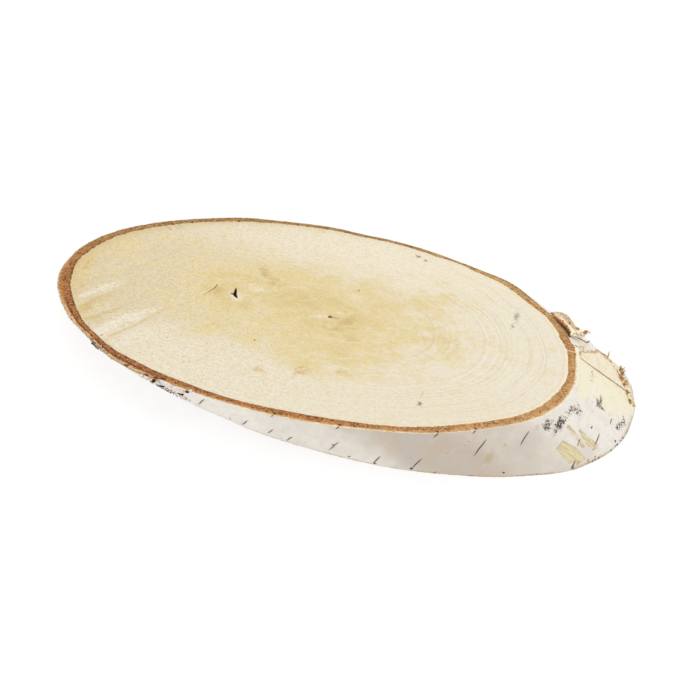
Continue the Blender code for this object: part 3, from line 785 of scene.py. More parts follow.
# the white outer skin
skin = {
    "columns": 690,
    "outerRows": 76,
    "fine": (-45, 40, 3.0),             # from, to, how much denser the columns are
    "medium": (-130, -45, 2.0),
    "slitWidth": 0.4,
    "slitDepth": 0.26,
    "lipHeight": 0.10,
    "peelDepth": 0.2,
    "rimSlope": 0.5,                    # how far its rim falls away inwards
    "refineWithin": 0.8,
    # dark dots: angle, height, size
    "dark": ((-109.5, 3.0, 0.4), (-85, 1.5, 0.4), (-54, 1.5, 0.42), (-21.5, 6.8, 0.35),
             (-80.5, 0.8, 0.42), (-73, 1.1, 0.45), (-69, 0.4, 0.4), (-84, 6.0, 0.34),
             (-115.5, 13.5, 0.6), (-111, 14.8, 0.5), (-20, 1.1, 0.4), (-38.7, 0.5, 0.4)),
}
# angle, height, length, darkness
lenticels = [(-108.8, 9.5, 7.0, 0.9), (-104.4, 4.4, 6.4, 0.8), (-99, 4.1, 5.0, 0.55),
             (-96, 3.0, 4.6, 0.7), (-84.7, 5.2, 6.5, 0.5), (-78.5, 2.6, 4.6, 0.75),
             (-70, 3.3, 5.6, 0.8), (-51.2, 9.7, 6.9, 1.0), (-39.5, 10.9, 5.6, 0.8), (-24, 4.0, 4.6, 0.8)]
lenticels += [(-87.6, 15.0, 3.4, 1.0), (-74.7, 15.0, 3.8, 1.0), (-55.4, 14.9, 3.8, 1.0),
              (-46.8, 15.1, 3.2, 1.0), (-37.5, 1.2, 3.2, 0.8), (-13.5, 4.4, 2.6, 0.7),
              (-29.4, 5.6, 2.6, 0.5)]
farLenticels = {"count": 26, "from": 42, "span": 186, "seed": 7}        # the far side, hidden in the picture
draw = random.Random(farLenticels["seed"])
for number in range(farLenticels["count"]):
    turned = (number + draw.uniform(0.3, 0.7)) * farLenticels["span"] / farLenticels["count"]
    height = draw.uniform(0.15, 0.85) * trunk["thickness"]
    reach = draw.uniform(4, 8)
    lenticels.append((turnFrom(0, farLenticels["from"] + turned), height, reach, draw.uniform(0.5, 1)))
peels = {
    "window": ((-32.3, 7.6), (-36.2, 6.2), (-38, 1.8), (-33.4, 1.0), (-31.6, 4.2)),
    "strip": ((-26, 10.2), (-27.4, 10.2), (-28.6, 6.8), (-30.6, 4.0), (-29.3, 4.0), (-27.4, 7.2)),
    "narrowStrip": ((-24.6, 8.1), (-25.9, 7.9), (-28.6, 3.8), (-27.2, 2.2), (-25.8, 2.9)),
    "tornAway": ((21, 12.4), (22.5, 9.0), (24, 7.4), (25.4, 8.6), (27.4, 6.6), (29, 9.4), (27.8, 12.6),
                 (24, 13.4)),
}
# angle, height, half width round the log, half length along it, turn, strength
barkSpots = {
    "lichen": ((-31, 12.5, 2.6, 1.9, 0, 1.15), (-27, 11.7, 2.4, 1.8, 0, 1.1),
               (-29.5, 11, 3.4, 1.4, 0, 0.5), (-32, 9.8, 2.4, 1.6, 0, 0.4),
               (-19.5, 11.9, 1.8, 2.4, 0, 0.85), (-22, 12.6, 2.6, 1.4, 0, 0.65),
               (-17, 12.2, 1.6, 1.0, 0, 0.6), (-19, 10.6, 2.0, 1.2, 0, 0.45),
               (-10.2, 8.6, 1.7, 1.6, 0, 1.2), (-7, 8.4, 2.4, 0.6, 12, 1.0),
               (-11.2, 7.2, 0.6, 2.0, 0, 0.8), (-12.2, 10.0, 1.4, 0.5, 0, 0.6),
               (-8.6, 9.6, 0.5, 1.2, 0, 0.6), (-12, 2.1, 2.4, 1.6, 0, 1.0),
               (-9, 1.7, 2.6, 0.7, 30, 0.9), (-14.6, 2.6, 1.4, 0.8, 0, 0.7),
               (0.6, 11.3, 1.6, 1.1, 0, 0.85), (3.6, 11.0, 1.6, 0.7, 20, 0.75),
               (-1.6, 11.0, 0.8, 0.9, 0, 0.45), (-21.5, 6.8, 0.9, 0.6, 0, 0.6),
               (-122, 12.5, 4.0, 1.6, 0, 0.8), (-115, 13.2, 3.6, 1.0, 0, 0.6),
               (-130, 13.0, 5.0, 1.4, 0, 0.9), (-138, 13.2, 4.0, 1.2, 0, 0.7), (150, 8, 7, 3, 20, 0.6),
               (96, 6, 5, 2.5, -20, 0.6), (-158, 7, 5, 3, 10, 0.7), (62, 10, 4, 2, 0, 0.55)),
    "cream": ((6.5, 11, 4, 9, 0, 0.8), (-5, 13.6, 6, 3, 0, 0.75), (7, 14.6, 5, 4, 0, 0.8),
              (9, 1.5, 9, 5, 0, 0.9), (-3, 6.5, 8, 8, 0, 0.95), (2, 3, 7, 6, 0, 0.8),
              (3, 12.5, 6, 5, 0, 0.85), (-9, 13, 6, 3, 0, 0.7), (-20, 8, 8, 6, 0, 0.25),
              (-45, 5, 5, 3, 0, 0.3), (-66, 4, 4, 2, 0, 0.25), (-95, 9, 5, 2.5, 0, 0.2),
              (170, 9, 12, 4, 0, 0.5)),
    "shadowTone": ((-60, 8, 9, 30, 0, 1.0), (-50, 8, 16, 30, 0, 0.75), (-86, 7, 18, 30, 0, 0.42),
                   (-39, 5, 8, 30, 0, 0.4), (-30, 2, 6, 6, 0, 0.3), (-60.5, 10, 4, 4, 0, 0.5),
                   (-57, 6, 3, 5, 0, 0.35), (-69, 8, 8, 30, 0, 0.75), (90, 7, 30, 30, 0, 0.4)),
    "roughPatch": ((-118, 9.5, 4, 4, 0, 1.0), (-114, 13.5, 4, 1.5, 0, 0.5),
                   (-128, 13.4, 8, 1.8, 0, 0.9), (-139, 13.8, 7, 1.6, 0, 0.8), (-152, 9, 8, 5, 0, 0.5)),
    "olive": ((-52.5, 6.4, 2.4, 1.9, 0, 0.75), (-65.5, 9.4, 1.8, 1.0, 20, 0.45),
              (-59.5, 8.2, 0.6, 0.5, 0, 1.0), (-45.5, 9.8, 0.9, 0.7, 0, 0.9),
              (-66, 3.2, 3, 1.2, 0, 0.4), (-34, 12.6, 2.0, 1.2, 0, 0.6), (-121, 14, 4, 0.8, 0, 0.7)),
    "brown": ((8.6, 14.2, 1.6, 0.8, 30, 0.9), (12.5, 12.6, 2.2, 0.8, 40, 0.95),
              (15.2, 10.6, 1.8, 0.8, 40, 0.9), (18.2, 8.8, 1.4, 0.8, 40, 0.8),
              (-38.5, 0.5, 0.8, 0.5, 0, 1.3), (-33, 0.8, 0.9, 0.5, 0, 1.2),
              (-30.5, 0.8, 0.7, 0.4, 0, 1.1), (-35, 1.6, 2.5, 1.0, 0, 0.8),
              (-20, 1.0, 0.6, 0.4, 0, 1.2), (-28, 2.6, 1.8, 1.0, 0, 0.7), (8, 3, 1.2, 1.4, 0, 0.7),
              (15, 3.4, 3, 1.5, 0, 0.7)),
    "crumpled": ((15.5, 12.4, 5.0, 3.0, 0, 1.2), (19, 9.4, 4, 3, 0, 1.2), (11, 13.8, 3, 1.6, 0, 0.8)),
    "recess": ((20, 5.5, 9, 6, 0, 1.0),),
    "footDark": ((-31, 0.3, 5, 4, 0, 1.0), (-20, 0.3, 7, 4, 0, 1.0), (-48, 0.3, 9, 4, 0, 0.7),
                 (-62, 0.3, 4, 4, 0, 0.5)),
}


# distance to the nearest lenticel's edge, negative inside, and its darkness
def slitDistance(angle, along):
    nearest, tone = np.full(np.shape(angle), 9.0), np.ones(np.shape(angle))
    for middle, z, length, darkness in lenticels:
        across = turnFrom(middle, angle) * degreeArc
        up = along - alongAt(middle, z) + 0.05 * np.sin(across * 1.3 + middle)
        reach = np.clip(np.abs(across) / (length / 2), 0, 1)
        wide = skin["slitWidth"] / 2 * np.sqrt(1 - reach ** 2)
        past = np.maximum(np.abs(across) - length / 2, 0)
        distance = np.hypot(past, up) - wide
        tone = np.where(distance < nearest, darkness, tone)
        nearest = np.minimum(nearest, distance)
    return nearest, tone


def peelDistance(angle, along, names):
    nearest = np.full(np.shape(angle), 9.0)
    for name in names:
        outline = [(corner * degreeArc, alongAt(corner, z)) for corner, z in peels[name]]
        nearest = np.minimum(nearest, outlineDistance(angle * degreeArc, along, outline))
    return nearest


def barkMarks(angle, along, places):    # soft spots on the bark, their places given as angle and height
    total = np.zeros(np.shape(angle))
    for middle, z, *sizes in places:
        across, up = turnFrom(middle, angle) * degreeArc, along - alongAt(middle, z)
        total = total + spots(across, up, [(0, 0, *sizes)])
    return total


def skinTube():                         # a thin tube; its layer is 1 on the outside
    outer = skin["outerRows"]
    rows = outer + 5
    shape = bmesh.new()
    bmesh.ops.create_grid(shape, x_segments=skin["columns"], y_segments=rows, size=0.5)
    raw = corners(shape)
    degree = np.linspace(-180, 180, 721)
    density = np.ones(721)
    for low, high, factor in (skin["fine"], skin["medium"]):
        density = np.where((degree >= low) & (degree < high), factor, density)
    travel = np.concatenate([[0], np.cumsum((density[1:] + density[:-1]) / 2)])
    angle = np.interp((raw[:, 0] + 0.5) * travel[-1], travel, degree)
    angle = np.where(angle > 179.999, -180, angle)
    station = (raw[:, 1] + 0.5) * rows
    # round the section: up the outside, over the rim, down the inside, back under
    knots = [0, outer, outer + 2, outer + 3, outer + 5]
    level = np.interp(station, knots, [0, 1, 1, 0, 0])
    inset = np.interp(station, knots, [0, 0, 1, 1, 0])
    radius = trunkRadius(angle, level) - trunk["paper"] * inset
    moveTo(shape.verts, logPoint(angle, radius, level * trunk["thickness"]))
    outside = shape.verts.layers.float.new("outside")
    store(shape.verts, outside, 1 - inset)
    bmesh.ops.remove_doubles(shape, verts=shape.verts, dist=1e-4)
    return shape, outside


def refineSlits(shape, outside):        # finer faces round the lenticels
    angle, _, along = logFrame(corners(shape))
    near = slitDistance(angle, along)[0] < skin["refineWithin"]
    shape.verts.ensure_lookup_table()
    shape.verts.index_update()
    fine = [e for e in shape.edges if all(near[v.index] and v[outside] > 0.9 for v in e.verts)]
    bmesh.ops.subdivide_edges(shape, edges=fine, cuts=2, use_grid_fill=True)


def darkDots(angle, along):
    dark = np.zeros(len(angle))
    for middle, z, size in skin["dark"]:
        distance = np.hypot((angle - middle) * degreeArc, along - alongAt(middle, z))
        dark = np.maximum(dark, 1 - smoothStep(0.6, 1.3, distance / size))
    return dark


def paperBark(material):
    shape, outside = skinTube()
    refineSlits(shape, outside)
    bmesh.ops.recalc_face_normals(shape, faces=shape.faces)
    points = corners(shape)
    out = np.array([v[outside] for v in shape.verts])
    angle, _, along = logFrame(points)
    turn = np.radians(angle)
    inLog = np.stack([trunk["radius"] * np.cos(turn), trunk["radius"] * np.sin(turn), along], -1)
    slit, slitTone = slitDistance(angle, along)
    ragged = 0.25 * rough(inLog, 1.3, 3, 2.0)
    peel = peelDistance(angle, along, peels) + ragged * (1 + 2.0 * (angle > 10))
    values = {name: barkMarks(angle, along, places) for name, places in barkSpots.items()}
    height = 0.10 * rough(inLog * [1, 1, 1.6], 9, 2, 1.0) + 0.03 * rough(inLog * [0.35, 0.35, 1], 0.8, 2, 4.0)
    height += np.where(slit < 0, -skin["slitDepth"] * smoothStep(0, -0.16, slit), 0)
    height += skin["lipHeight"] * bell(slit - 0.25, 0.28)
    height -= skin["peelDepth"] * (1 - smoothStep(-0.12, 0.12, peel))
    height += values["roughPatch"] * (0.45 * rough(inLog * [1, 1, 0.8], 1.6, 3, 9.0) + 0.1)
    height += 0.09 * values["lichen"] * rough(inLog, 0.6, 2, 6.0)
    height += values["crumpled"] * (0.4 * rough(inLog, 1.7, 3, 15.0) + 0.15) - 0.55 * values["recess"]
    height += oldBarkSwell(angle, points[:, 2])
    height += 1.25 * paperShows(angle) * smoothStep(1.5, 0.2, trunk["thickness"] - points[:, 2])
    fray = smoothStep(1.2, 0, trunk["thickness"] - points[:, 2]) + smoothStep(1.0, 0, points[:, 2])
    height += 0.16 * fray * rough(inLog, 1.1, 3, 8.0)
    points += outward(angle) * (np.where(out > 0.4, height, 0))[:, None]
    rim = 0.12 * rough(inLog, 0.9, 2, 12.0)
    points[:, 2] = np.clip(points[:, 2], 0, trunk["thickness"] + np.where(out < 0.9, rim, 0.5 * rim))
    slope = skin["rimSlope"] * (1 - out) * (1 - 2.2 * paperShows(angle))
    points[:, 2] -= np.where(points[:, 2] > half, slope, 0)
    values.update({"slit": slit, "slitTone": slitTone, "peel": peel, "outside": out})
    values["dark"] = darkDots(angle, along)
    values["window"] = peelDistance(angle, along, ["window"])
    finishPiece("paperBark", shape, points, values, material)


def skinMaterial():
    material, shader, place, inLog = newMaterial("paperBark", 0.55, 0.3)
    slit, peel, out, window = readings(place, "slit", "peel", "outside", "window")
    lichen, cream, toned, olive = readings(place, "lichen", "cream", "shadowTone", "olive")
    coarse, brown, dark, crumpled = readings(place, "roughPatch", "brown", "dark", "crumpled")
    streak = inLog.stretch(0.4, 0.4, 1.0).clouds(1.6, 4, 0.6)       # runs round the log
    cloud = inLog.clouds(5, 4, 0.6)
    fine = place.clouds(0.35, 3, 0.6)
    colour = cloud.smooth(0.35, 0.65).mix(tint(236, 229, 220), tint(245, 240, 229))
    colour = ((cream + (cloud - 0.5) * 0.9).smooth(0.25, 0.9) * 0.85).mix(colour, tint(247, 238, 208))
    wide = inLog.stretch(0.6, 0.6, 1.0).clouds(9, 3, 0.5)
    shadeShare = (toned + (wide - 0.5) * 1.0 * toned.smooth(0.05, 0.5)).smooth(-0.1, 1.5)
    shaded = (wide * 0.5 + cloud * 0.5).smooth(0.36, 0.62).mix(tint(203, 186, 165), tint(201, 191, 180))
    colour = shadeShare.mix(colour, shaded)
    colour = ((olive + cloud.sway(0.8)).smooth(0.2, 0.9) * 0.8).mix(colour, tint(190, 172, 130))
    colour = (streak.smooth(0.55, 0.75) * 0.35).mix(colour, tint(208, 192, 174))
    blush = (cloud * 0.5 + streak * 0.5).smooth(0.54, 0.66)
    colour = (blush * 0.3).mix(colour, tint(228, 206, 172))
    contour = inLog.clouds(11, 2, 0.5, 1.2)
    thread = contour.peak(0.5, 0.006) * cloud.smooth(0.42, 0.56)
    colour = (thread * 0.22).mix(colour, tint(186, 160, 132))
    colour = colour.shade(1 + (fine - 0.5) * 0.09)
    rougher = coarse.smooth(0.15, 0.8)
    scale = inLog.stretch(0.5, 0.5, 1.3).clouds(0.9, 4, 0.75)
    colour = (rougher * scale.smooth(0.42, 0.58) * 0.8).mix(colour, tint(158, 144, 130))
    colour = (rougher * scale.smooth(0.57, 0.66)).mix(colour, tint(66, 52, 42))
    creased = crumpled.smooth(0.15, 0.8)
    bright = fine.smooth(0.35, 0.65).mix(tint(245, 231, 214), tint(254, 249, 238))
    colour = (creased * 0.75).mix(colour, bright)
    colour = (creased * scale.smooth(0.58, 0.66) * 0.45).mix(colour, tint(212, 172, 122))
    tan = (brown + (place.clouds(0.8, 3) - 0.5) * 1.6).smooth(0.4, 0.9)
    colour = (tan * 0.9).mix(colour, scale.smooth(0.4, 0.6).mix(tint(214, 176, 120), tint(158, 108, 62)))
    inside = peel.smooth(0.05, -0.1)
    lengthwise = inLog.stretch(1, 1, 0.14).clouds(0.7, 3, 0.6)
    raw = lengthwise.smooth(0.38, 0.62).mix(tint(208, 184, 138), tint(238, 224, 190))
    greener = lengthwise.smooth(0.38, 0.62).mix(tint(204, 186, 132), tint(228, 214, 168))
    raw = (window.smooth(0.15, -0.1) * 0.8).mix(raw, greener)
    colour = (inside * 0.9).mix(colour, raw)
    lip = (1 - (peel / 0.12) ** 2.0).smooth(0, 1) * cloud.smooth(0.4, 0.6)
    colour = (lip * 0.5).mix(colour, tint(166, 134, 94))
    twig = inLog.clouds(1.5, 3, 0.6, 1.0)
    branches = (0.5 - ((twig - 0.5) / 0.12) ** 2.0 * 0.5).smooth(0.1, 0.5)
    dotted = inLog.clouds(0.95, 4, 0.8) * 0.75 + branches * 0.2
    grey = (lichen * 0.6 + (place.clouds(1.4, 3) - 0.5)).smooth(0.25, 0.9)
    colour = (grey * 0.5).mix(colour, tint(170, 158, 144))
    black = (dotted + lichen * 0.22).smooth(0.68, 0.76) * lichen.smooth(0.04, 0.2)
    colour = (black * 0.92).mix(colour, tint(58, 46, 38))
    speck = inLog.clouds(1.3, 2, 0.5).smooth(0.75, 0.77)
    colour = (speck * 0.7).mix(colour, tint(110, 90, 72))
    stroke = slit.smooth(0.06, -0.08)
    colour = (slit.smooth(0.5, 0.05) * 0.35).mix(colour, tint(190, 170, 152))
    colour = (stroke * reading(place, "slitTone")).mix(colour, tint(92, 68, 50))
    colour = dark.smooth(0.2, 0.7).mix(colour, tint(70, 54, 44))
    foot = place.axis(2).smooth(1.0, 0.2)
    colour = (foot * cloud.smooth(0.4, 0.55) * 0.6).mix(colour, tint(196, 170, 126))
    footDark = foot.smooth(0.55, 0.95) * reading(place, "footDark")
    colour = (footDark * inLog.clouds(1.1, 3, 0.7).smooth(0.46, 0.56)).mix(colour, tint(84, 66, 50))
    worn = (fine * 0.5 + place.clouds(1.6, 3) * 0.5).smooth(0.42, 0.58)
    rim = worn.mix(tint(230, 200, 148), tint(249, 236, 204))
    colour = out.smooth(0.97, 0.8).mix(colour, rim)
    feed(shader, "Base Color", colour)
    feed(shader, "Roughness", 0.5 + fine * 0.15 + stroke * 0.25)
    relief(shader, streak * 0.5 + fine * 0.3 + scale * rougher, 0.12)
    return material


# loose paper: every sheet is a bent grid that Solidify gives its thickness
sheetValues = ("edge", "depth", "warm")             # torn cream edge; depth: painted shade in the roll's crevice, and stains and brown bands on the other sheets; orange inner side


def pointLayer(shape, name):            # made before the points, which a new layer would lose
    return shape.verts.layers.float.get(name) or shape.verts.layers.float.new(name)


def bentSheet(shape, grid, bend):
    columns, rows = grid
    layers = {name: pointLayer(shape, name) for name in sheetValues}
    made = bmesh.ops.create_grid(shape, x_segments=columns, y_segments=rows, size=0.5)["verts"]
    across = np.array([v.co.x for v in made]) + 0.5
    up = np.array([v.co.y for v in made]) + 0.5
    points, values = bend(across, up)
    moveTo(made, points)
    for name, value in values.items():
        store(made, layers[name], value)


def thicken(piece, thickness):
    shell = piece.modifiers.new("thickness", "SOLIDIFY")
    shell.thickness = thickness * mm
    shell.offset = 0.0


def freeEdge(across, up, width=0.12):   # 1 at a sheet's borders
    return 1 - smoothStep(0, width, np.minimum(np.minimum(across, 1 - across), np.minimum(up, 1 - up)))


def curved(line, share):                # a smooth line through these points
    points = np.array([line[0], *line, line[-1]], float)
    spot = np.clip(share, 0, 0.9999) * (len(line) - 1)
    leg = spot.astype(int)
    t = (spot - leg)[:, None]
    a, b, c, d = (points[leg + k] for k in range(4))
    square, cube = 2 * a - 5 * b + 4 * c - d, 3 * b - a - 3 * c + d
    return 0.5 * (2 * b + (c - a) * t + square * t ** 2 + cube * t ** 3)


def shaken(points, size, amount, seed):
    shift = np.stack([rough(points, size, 3, seed + k * 3.1) for k in range(3)], axis=-1)
    return points + shift * np.broadcast_to(amount, len(points))[:, None]


def rimFrame(angle):                    # the rim's point, the way out of the bark, and the way down it
    rim = logPoint(angle, trunkRadius(angle, 1), 0 * angle + trunk["thickness"])
    ahead = logPoint(angle - 1, trunkRadius(angle - 1, 1), 0 * angle + trunk["thickness"])
    lift = outward(angle)
    down = -np.cross(ahead - rim, lift)
    return rim, lift, down / np.linalg.norm(down, axis=-1, keepdims=True)


# the rolled bark's sections as lines of (down the bark, off the bark), and how much they swell at which angle
scroll = {
    "face": {"angles": (28.6, 16.4), "line": ((0.0, -0.4), (0.15, 0.5), (0.4, 1.2), (0.8, 1.8)),
             "swell": ((16.4, 0.4), (18.2, 0.9), (21, 1.05), (25, 0.85), (27.6, 0.45), (28.6, 0.1))},
    "flap": {"angles": (29.8, 18.4),
             "line": ((0.7, 1.6), (0.7, 2.4), (1.1, 3.2), (2.0, 3.6), (2.9, 3.2), (3.5, 2.2), (3.7, 0.9),
                      (3.7, -0.4)),
             "swell": ((18.4, 0.5), (20, 0.85), (22.4, 1.0), (25.3, 1.03), (27.2, 0.8), (28.6, 0.5),
                       (29.8, 0.05))},
    "lip": ((16.6, 0.5), (18.5, 0.6), (21, 0.42), (24, 0.3), (28, 0.14)),
    "lipAngles": (28.2, 16.6),
    "thickness": 0.26,
    "stains": ((0.32, 0.3, 0.16, 0.12, 0, 0.6), (0.6, 0.35, 0.1, 0.1, 0, 0.5)),
    "seed": 5,
    "grids": {"face": (64, 14), "flap": (60, 36), "lip": (90, 12), "strand": (2, 36), "lump": (7, 9)},
    "strandAngle": 17.2,
    "strand": ((0.4, 1.1), (2.2, 1.0), (4.0, 0.95), (6.3, 0.95), (8.4, 1.15), (9.0, 1.75), (8.5, 2.35)),
    # lumps at its torn end: angle, down, off, size, how brown
    "lumps": ((21.6, 1.0, 2.3, 1.0, 0), (20.4, 1.6, 2.6, 1.3, 0), (19.6, 1.1, 2.1, 1.2, 0),
              (19.0, 2.4, 2.7, 1.5, 0), (18.2, 1.6, 2.1, 1.4, 0), (17.6, 2.8, 2.5, 1.4, 0),
              (17.2, 1.4, 1.6, 1.0, 0.4), (20.2, 3.1, 2.8, 1.3, 0), (18.6, 3.6, 3.0, 1.3, 0),
              (22.6, 0.8, 2.1, 0.7, 0), (18.0, 3.2, 3.4, 1.2, 0), (17.4, 4.2, 3.5, 1.1, 0),
              (17.2, 4.4, 4.2, 0.8, 0.9), (17.2, 4.2, 4.9, 0.7, 1), (17.2, 5.7, 5.1, 0.6, 0.6),
              (17.2, 5.0, 4.4, 0.6, 0), (17.2, 4.6, 2.7, 1.0, 0), (17.0, 3.2, 2.0, 0.8, 0.3),
              (21.6, 1.1, 3.1, 1.1, 1), (19.0, 2.3, 3.3, 0.7, 1)),
}


def readOff(table, angle):              # a size between those that the table gives for its angles
    return np.interp(angle, *zip(*table))


def sectionSheet(across, up, part, seed):
    first, second = part["angles"]
    angle = first + (second - first) * across
    rim, lift, down = rimFrame(angle)
    swell = readOff(part["swell"], angle)
    spot = curved(part["line"], up)
    below, off = spot[:, 0] * (0.35 + 0.65 * swell), spot[:, 1] * swell
    return shaken(rim + down * below[:, None] + lift * off[:, None], 1.7, 0.16 * (0.3 + up), seed)


def rollFace(across, up):
    # depth here is painted shade, darker down the face towards the crevice by the ring
    values = {"edge": smoothStep(0.82 - 0.25 * across, 1.0, up), "warm": 1 - 0.3 * up,
              "depth": smoothStep(0.8, 0.25, up) * (0.6 + 0.6 * across)}
    return sectionSheet(across, up, scroll["face"], 1.0), values


def rollFlap(across, up):
    edge = smoothStep(0.14 + 0.2 * across, 0.0, up) + smoothStep(0.9, 1, across)
    values = {"edge": edge, "depth": spots(across, up, scroll["stains"]), "warm": 0 * up}
    return sectionSheet(across, up, scroll["flap"], 5.0), values


def rollLip(across, up):                # the thick torn edge where the flap turns over
    first, second = scroll["lipAngles"]
    angle = first + (second - first) * across
    rim, lift, down = rimFrame(angle)
    turn = np.radians(360 * up)
    size = readOff(scroll["lip"], angle) * (1 + 0.5 * rough(rim, 0.9, 2, 4.0))
    swell = readOff(scroll["face"]["swell"], angle)
    below, off = 0.75 * swell + size * np.cos(turn), 1.75 * swell + 0.7 * size * np.sin(turn)
    points = rim + down * below[:, None] + lift * off[:, None]
    speck = smoothStep(0.25, 0.5, rough(points, 1.1, 2, 21.0))
    return shaken(points, 0.7, 0.12, 9.0), {"edge": 1 - speck, "warm": speck, "depth": 0.7 * speck}


def rollStrand(across, up):             # the thin strip that hangs out of the roll and hooks up at its end
    rim, lift, down = rimFrame(scroll["strandAngle"] + 0 * up)
    spot = curved(scroll["strand"], up)
    side = (across - 0.5) * (0.4 + 0.35 * smoothStep(0.75, 1, up))
    points = rim + lift * (spot[:, 1] + 0.7 * side)[:, None] + down * (spot[:, 0] - 0.7 * side)[:, None]
    return points, {"depth": 0.65 + 0.2 * np.sin(up * 20), "warm": 0.8 + 0 * up}


def rollLump(place, tilt, lean, bow):   # a small bowed flap; returns the function that bends its grid
    angle, below, off, size, brown = place

    def bend(across, up):
        rim, lift, down = rimFrame(np.array([angle]))
        a, b = (across - 0.5) * size * 1.3, (up - 0.5) * size * 1.7
        rise = -bow * (a * a + b * b) / size
        flatA, flatB = a * math.cos(tilt) - b * math.sin(tilt), a * math.sin(tilt) + b * math.cos(tilt)
        leaned = flatB * math.cos(lean) - rise * math.sin(lean)
        height = flatB * math.sin(lean) + rise * math.cos(lean)
        points = rim + lift * (off + height)[:, None] + down * (below + leaned)[:, None]
        points = points + np.cross(lift, down) * flatA[:, None]
        values = {"edge": 1.3 - 1.4 * brown + 0 * up, "depth": 0.6 * brown - 0.4 + 0 * up,
                  "warm": 0.7 * freeEdge(across, up, 0.16) - 0.4 + 1.2 * brown}
        return shaken(points, 0.7, 0.16, 2.0), values
    return bend


def rolledPaper(material):
    shape = bmesh.new()
    grids = scroll["grids"]
    bentSheet(shape, grids["face"], rollFace)
    bentSheet(shape, grids["flap"], rollFlap)
    bentSheet(shape, grids["lip"], rollLip)
    bentSheet(shape, grids["strand"], rollStrand)
    pick = random.Random(scroll["seed"])
    for place in scroll["lumps"]:
        pose = pick.uniform(0, math.tau), pick.uniform(-0.2, 0.6), pick.uniform(0.2, 0.55)
        bentSheet(shape, grids["lump"], rollLump(place, *pose))
    piece = finishPiece("rolledPaper", shape, corners(shape), {}, material)
    thicken(piece, scroll["thickness"])


paperColours = {
    "rolledPaper": {"light": (222, 201, 168), "deep": (196, 170, 134), "edge": (253, 243, 214),
                    "warm": ((214, 152, 82), (172, 110, 52))},
    "tornPaper": {"light": (240, 224, 188), "deep": (224, 196, 148), "edge": (246, 234, 202),
                  "warm": ((204, 156, 98), (162, 106, 56))},
}


def paperMaterial(name, roughness):
    paint = paperColours[name]
    material, shader, place, inLog = newMaterial(name, roughness, 0.3)
    grain = inLog.stretch(0.5, 0.5, 1.0).clouds(0.7, 4, 0.6)
    fine = place.clouds(0.3, 3, 0.7)
    blotch = place.clouds(1.2, 3, 0.6)
    colour = grain.smooth(0.35, 0.65).mix(tint(*paint["light"]), tint(*paint["deep"]))
    warmth = (reading(place, "warm") + (blotch - 0.5) * 0.8).smooth(0.2, 0.8)
    warm, warmer = paint["warm"]
    colour = warmth.mix(colour, grain.smooth(0.4, 0.6).mix(tint(*warm), tint(*warmer)))
    torn = (reading(place, "edge") + (blotch - 0.5) * 0.9).smooth(0.25, 0.8)
    colour = (torn * 0.9).mix(colour, tint(*paint["edge"]))
    # depth darkens: painted shade in the roll's crevice, stains and brown bands on the other sheets
    shadeAndStain = (reading(place, "depth") + (fine - 0.5) * 0.6).smooth(0.3, 0.95)
    colour = (shadeAndStain * 0.95).mix(colour, tint(58, 28, 12))
    freckle = place.clouds(0.9, 2, 0.5).smooth(0.64, 0.7)
    colour = (freckle * 0.6).mix(colour, tint(158, 104, 54))
    feed(shader, "Base Color", colour.shade(1 + (fine - 0.5) * 0.35))
    relief(shader, grain * 0.6 + fine * 0.4, 0.08)
    return material


sheet = {
    "lower": ((6.2, 14.2), (7.0, 1.3)),             # angle and height of its straight edge's two ends
    "upper": ((8.9, 14.3), (12.0, 12.3), (15.2, 10.2), (18.6, 8.3), (20.1, 6.8), (19.6, 5.0), (17.2, 3.2)),
    "lift": 0.27,
    "thickness": 0.2,
    "grid": (46, 60),
}


def looseSheet(material):
    lowerStart, lowerEnd = sheet["lower"]
    shape = bmesh.new()

    def lie(across, up):
        lowAngle = lowerStart[0] + (lowerEnd[0] - lowerStart[0]) * up
        lowZ = lowerStart[1] + (lowerEnd[1] - lowerStart[1]) * up
        high = curved(sheet["upper"], up)
        ends = np.stack([up * 60, 3 + 0 * up, 0 * up], axis=-1)
        tear = 0.7 * rough(ends, 6.0, 2) + 0.4 * rough(ends, 1.6, 2)
        angle = lowAngle + (high[:, 0] - lowAngle) * across + tear * across ** 4
        z = lowZ + (high[:, 1] - lowZ) * across
        lift = sheet["lift"] * (0.4 + 0.6 * (1 - across) ** 2)
        lift = lift + 1.1 * np.maximum(across - 0.75, 0) * (1 + 1.2 * tear)
        raised = np.maximum(lift, 0.14) + 0.55 * smoothStep(0.4, 0.9, across)
        points = onBark(angle, lengthAlong(angle, z), raised)
        points = points + outward(angle) * (0.08 * rough(points, 2.6, 3, 4.0))[:, None]
        edge = smoothStep(0.76, 1, across) + 0.7 * smoothStep(0.035, 0, across)
        return points, {"edge": edge, "depth": 0 * up, "warm": smoothStep(0.05, 0.02, up)}
    bentSheet(shape, sheet["grid"], lie)
    piece = finishPiece("looseSheet", shape, corners(shape), {}, material)
    thicken(piece, sheet["thickness"])


def sheetMaterial():
    material, shader, place, inLog = newMaterial("loosePaper", 0.5, 0.3)
    streak = inLog.stretch(0.4, 0.4, 1.0).clouds(1.2, 4, 0.6)
    fine = place.clouds(0.35, 3, 0.7)
    patch = place.clouds(2.2, 4, 0.65)
    colour = streak.smooth(0.35, 0.65).mix(tint(242, 229, 199), tint(246, 238, 216))
    colour = (patch.smooth(0.5, 0.64) * 0.6).mix(colour, tint(236, 212, 174))
    colour = (fine.smooth(0.58, 0.68) * patch.smooth(0.42, 0.55) * 0.4).mix(colour, tint(196, 158, 112))
    border = reading(place, "edge")
    edge = (border + (patch - 0.5) * 0.9 + (fine - 0.5) * 0.8).smooth(0.25, 0.85)
    colour = (edge * 0.85).mix(colour, tint(216, 178, 118))
    brownEdge = (border + reading(place, "warm")) * fine.smooth(0.5, 0.6)
    colour = (brownEdge.smooth(0.4, 0.8) * 0.8).mix(colour, tint(146, 98, 54))
    feed(shader, "Base Color", colour.shade(1 + (fine - 0.5) * 0.12))
    relief(shader, streak * 0.6 + fine * 0.4, 0.1)
    return material


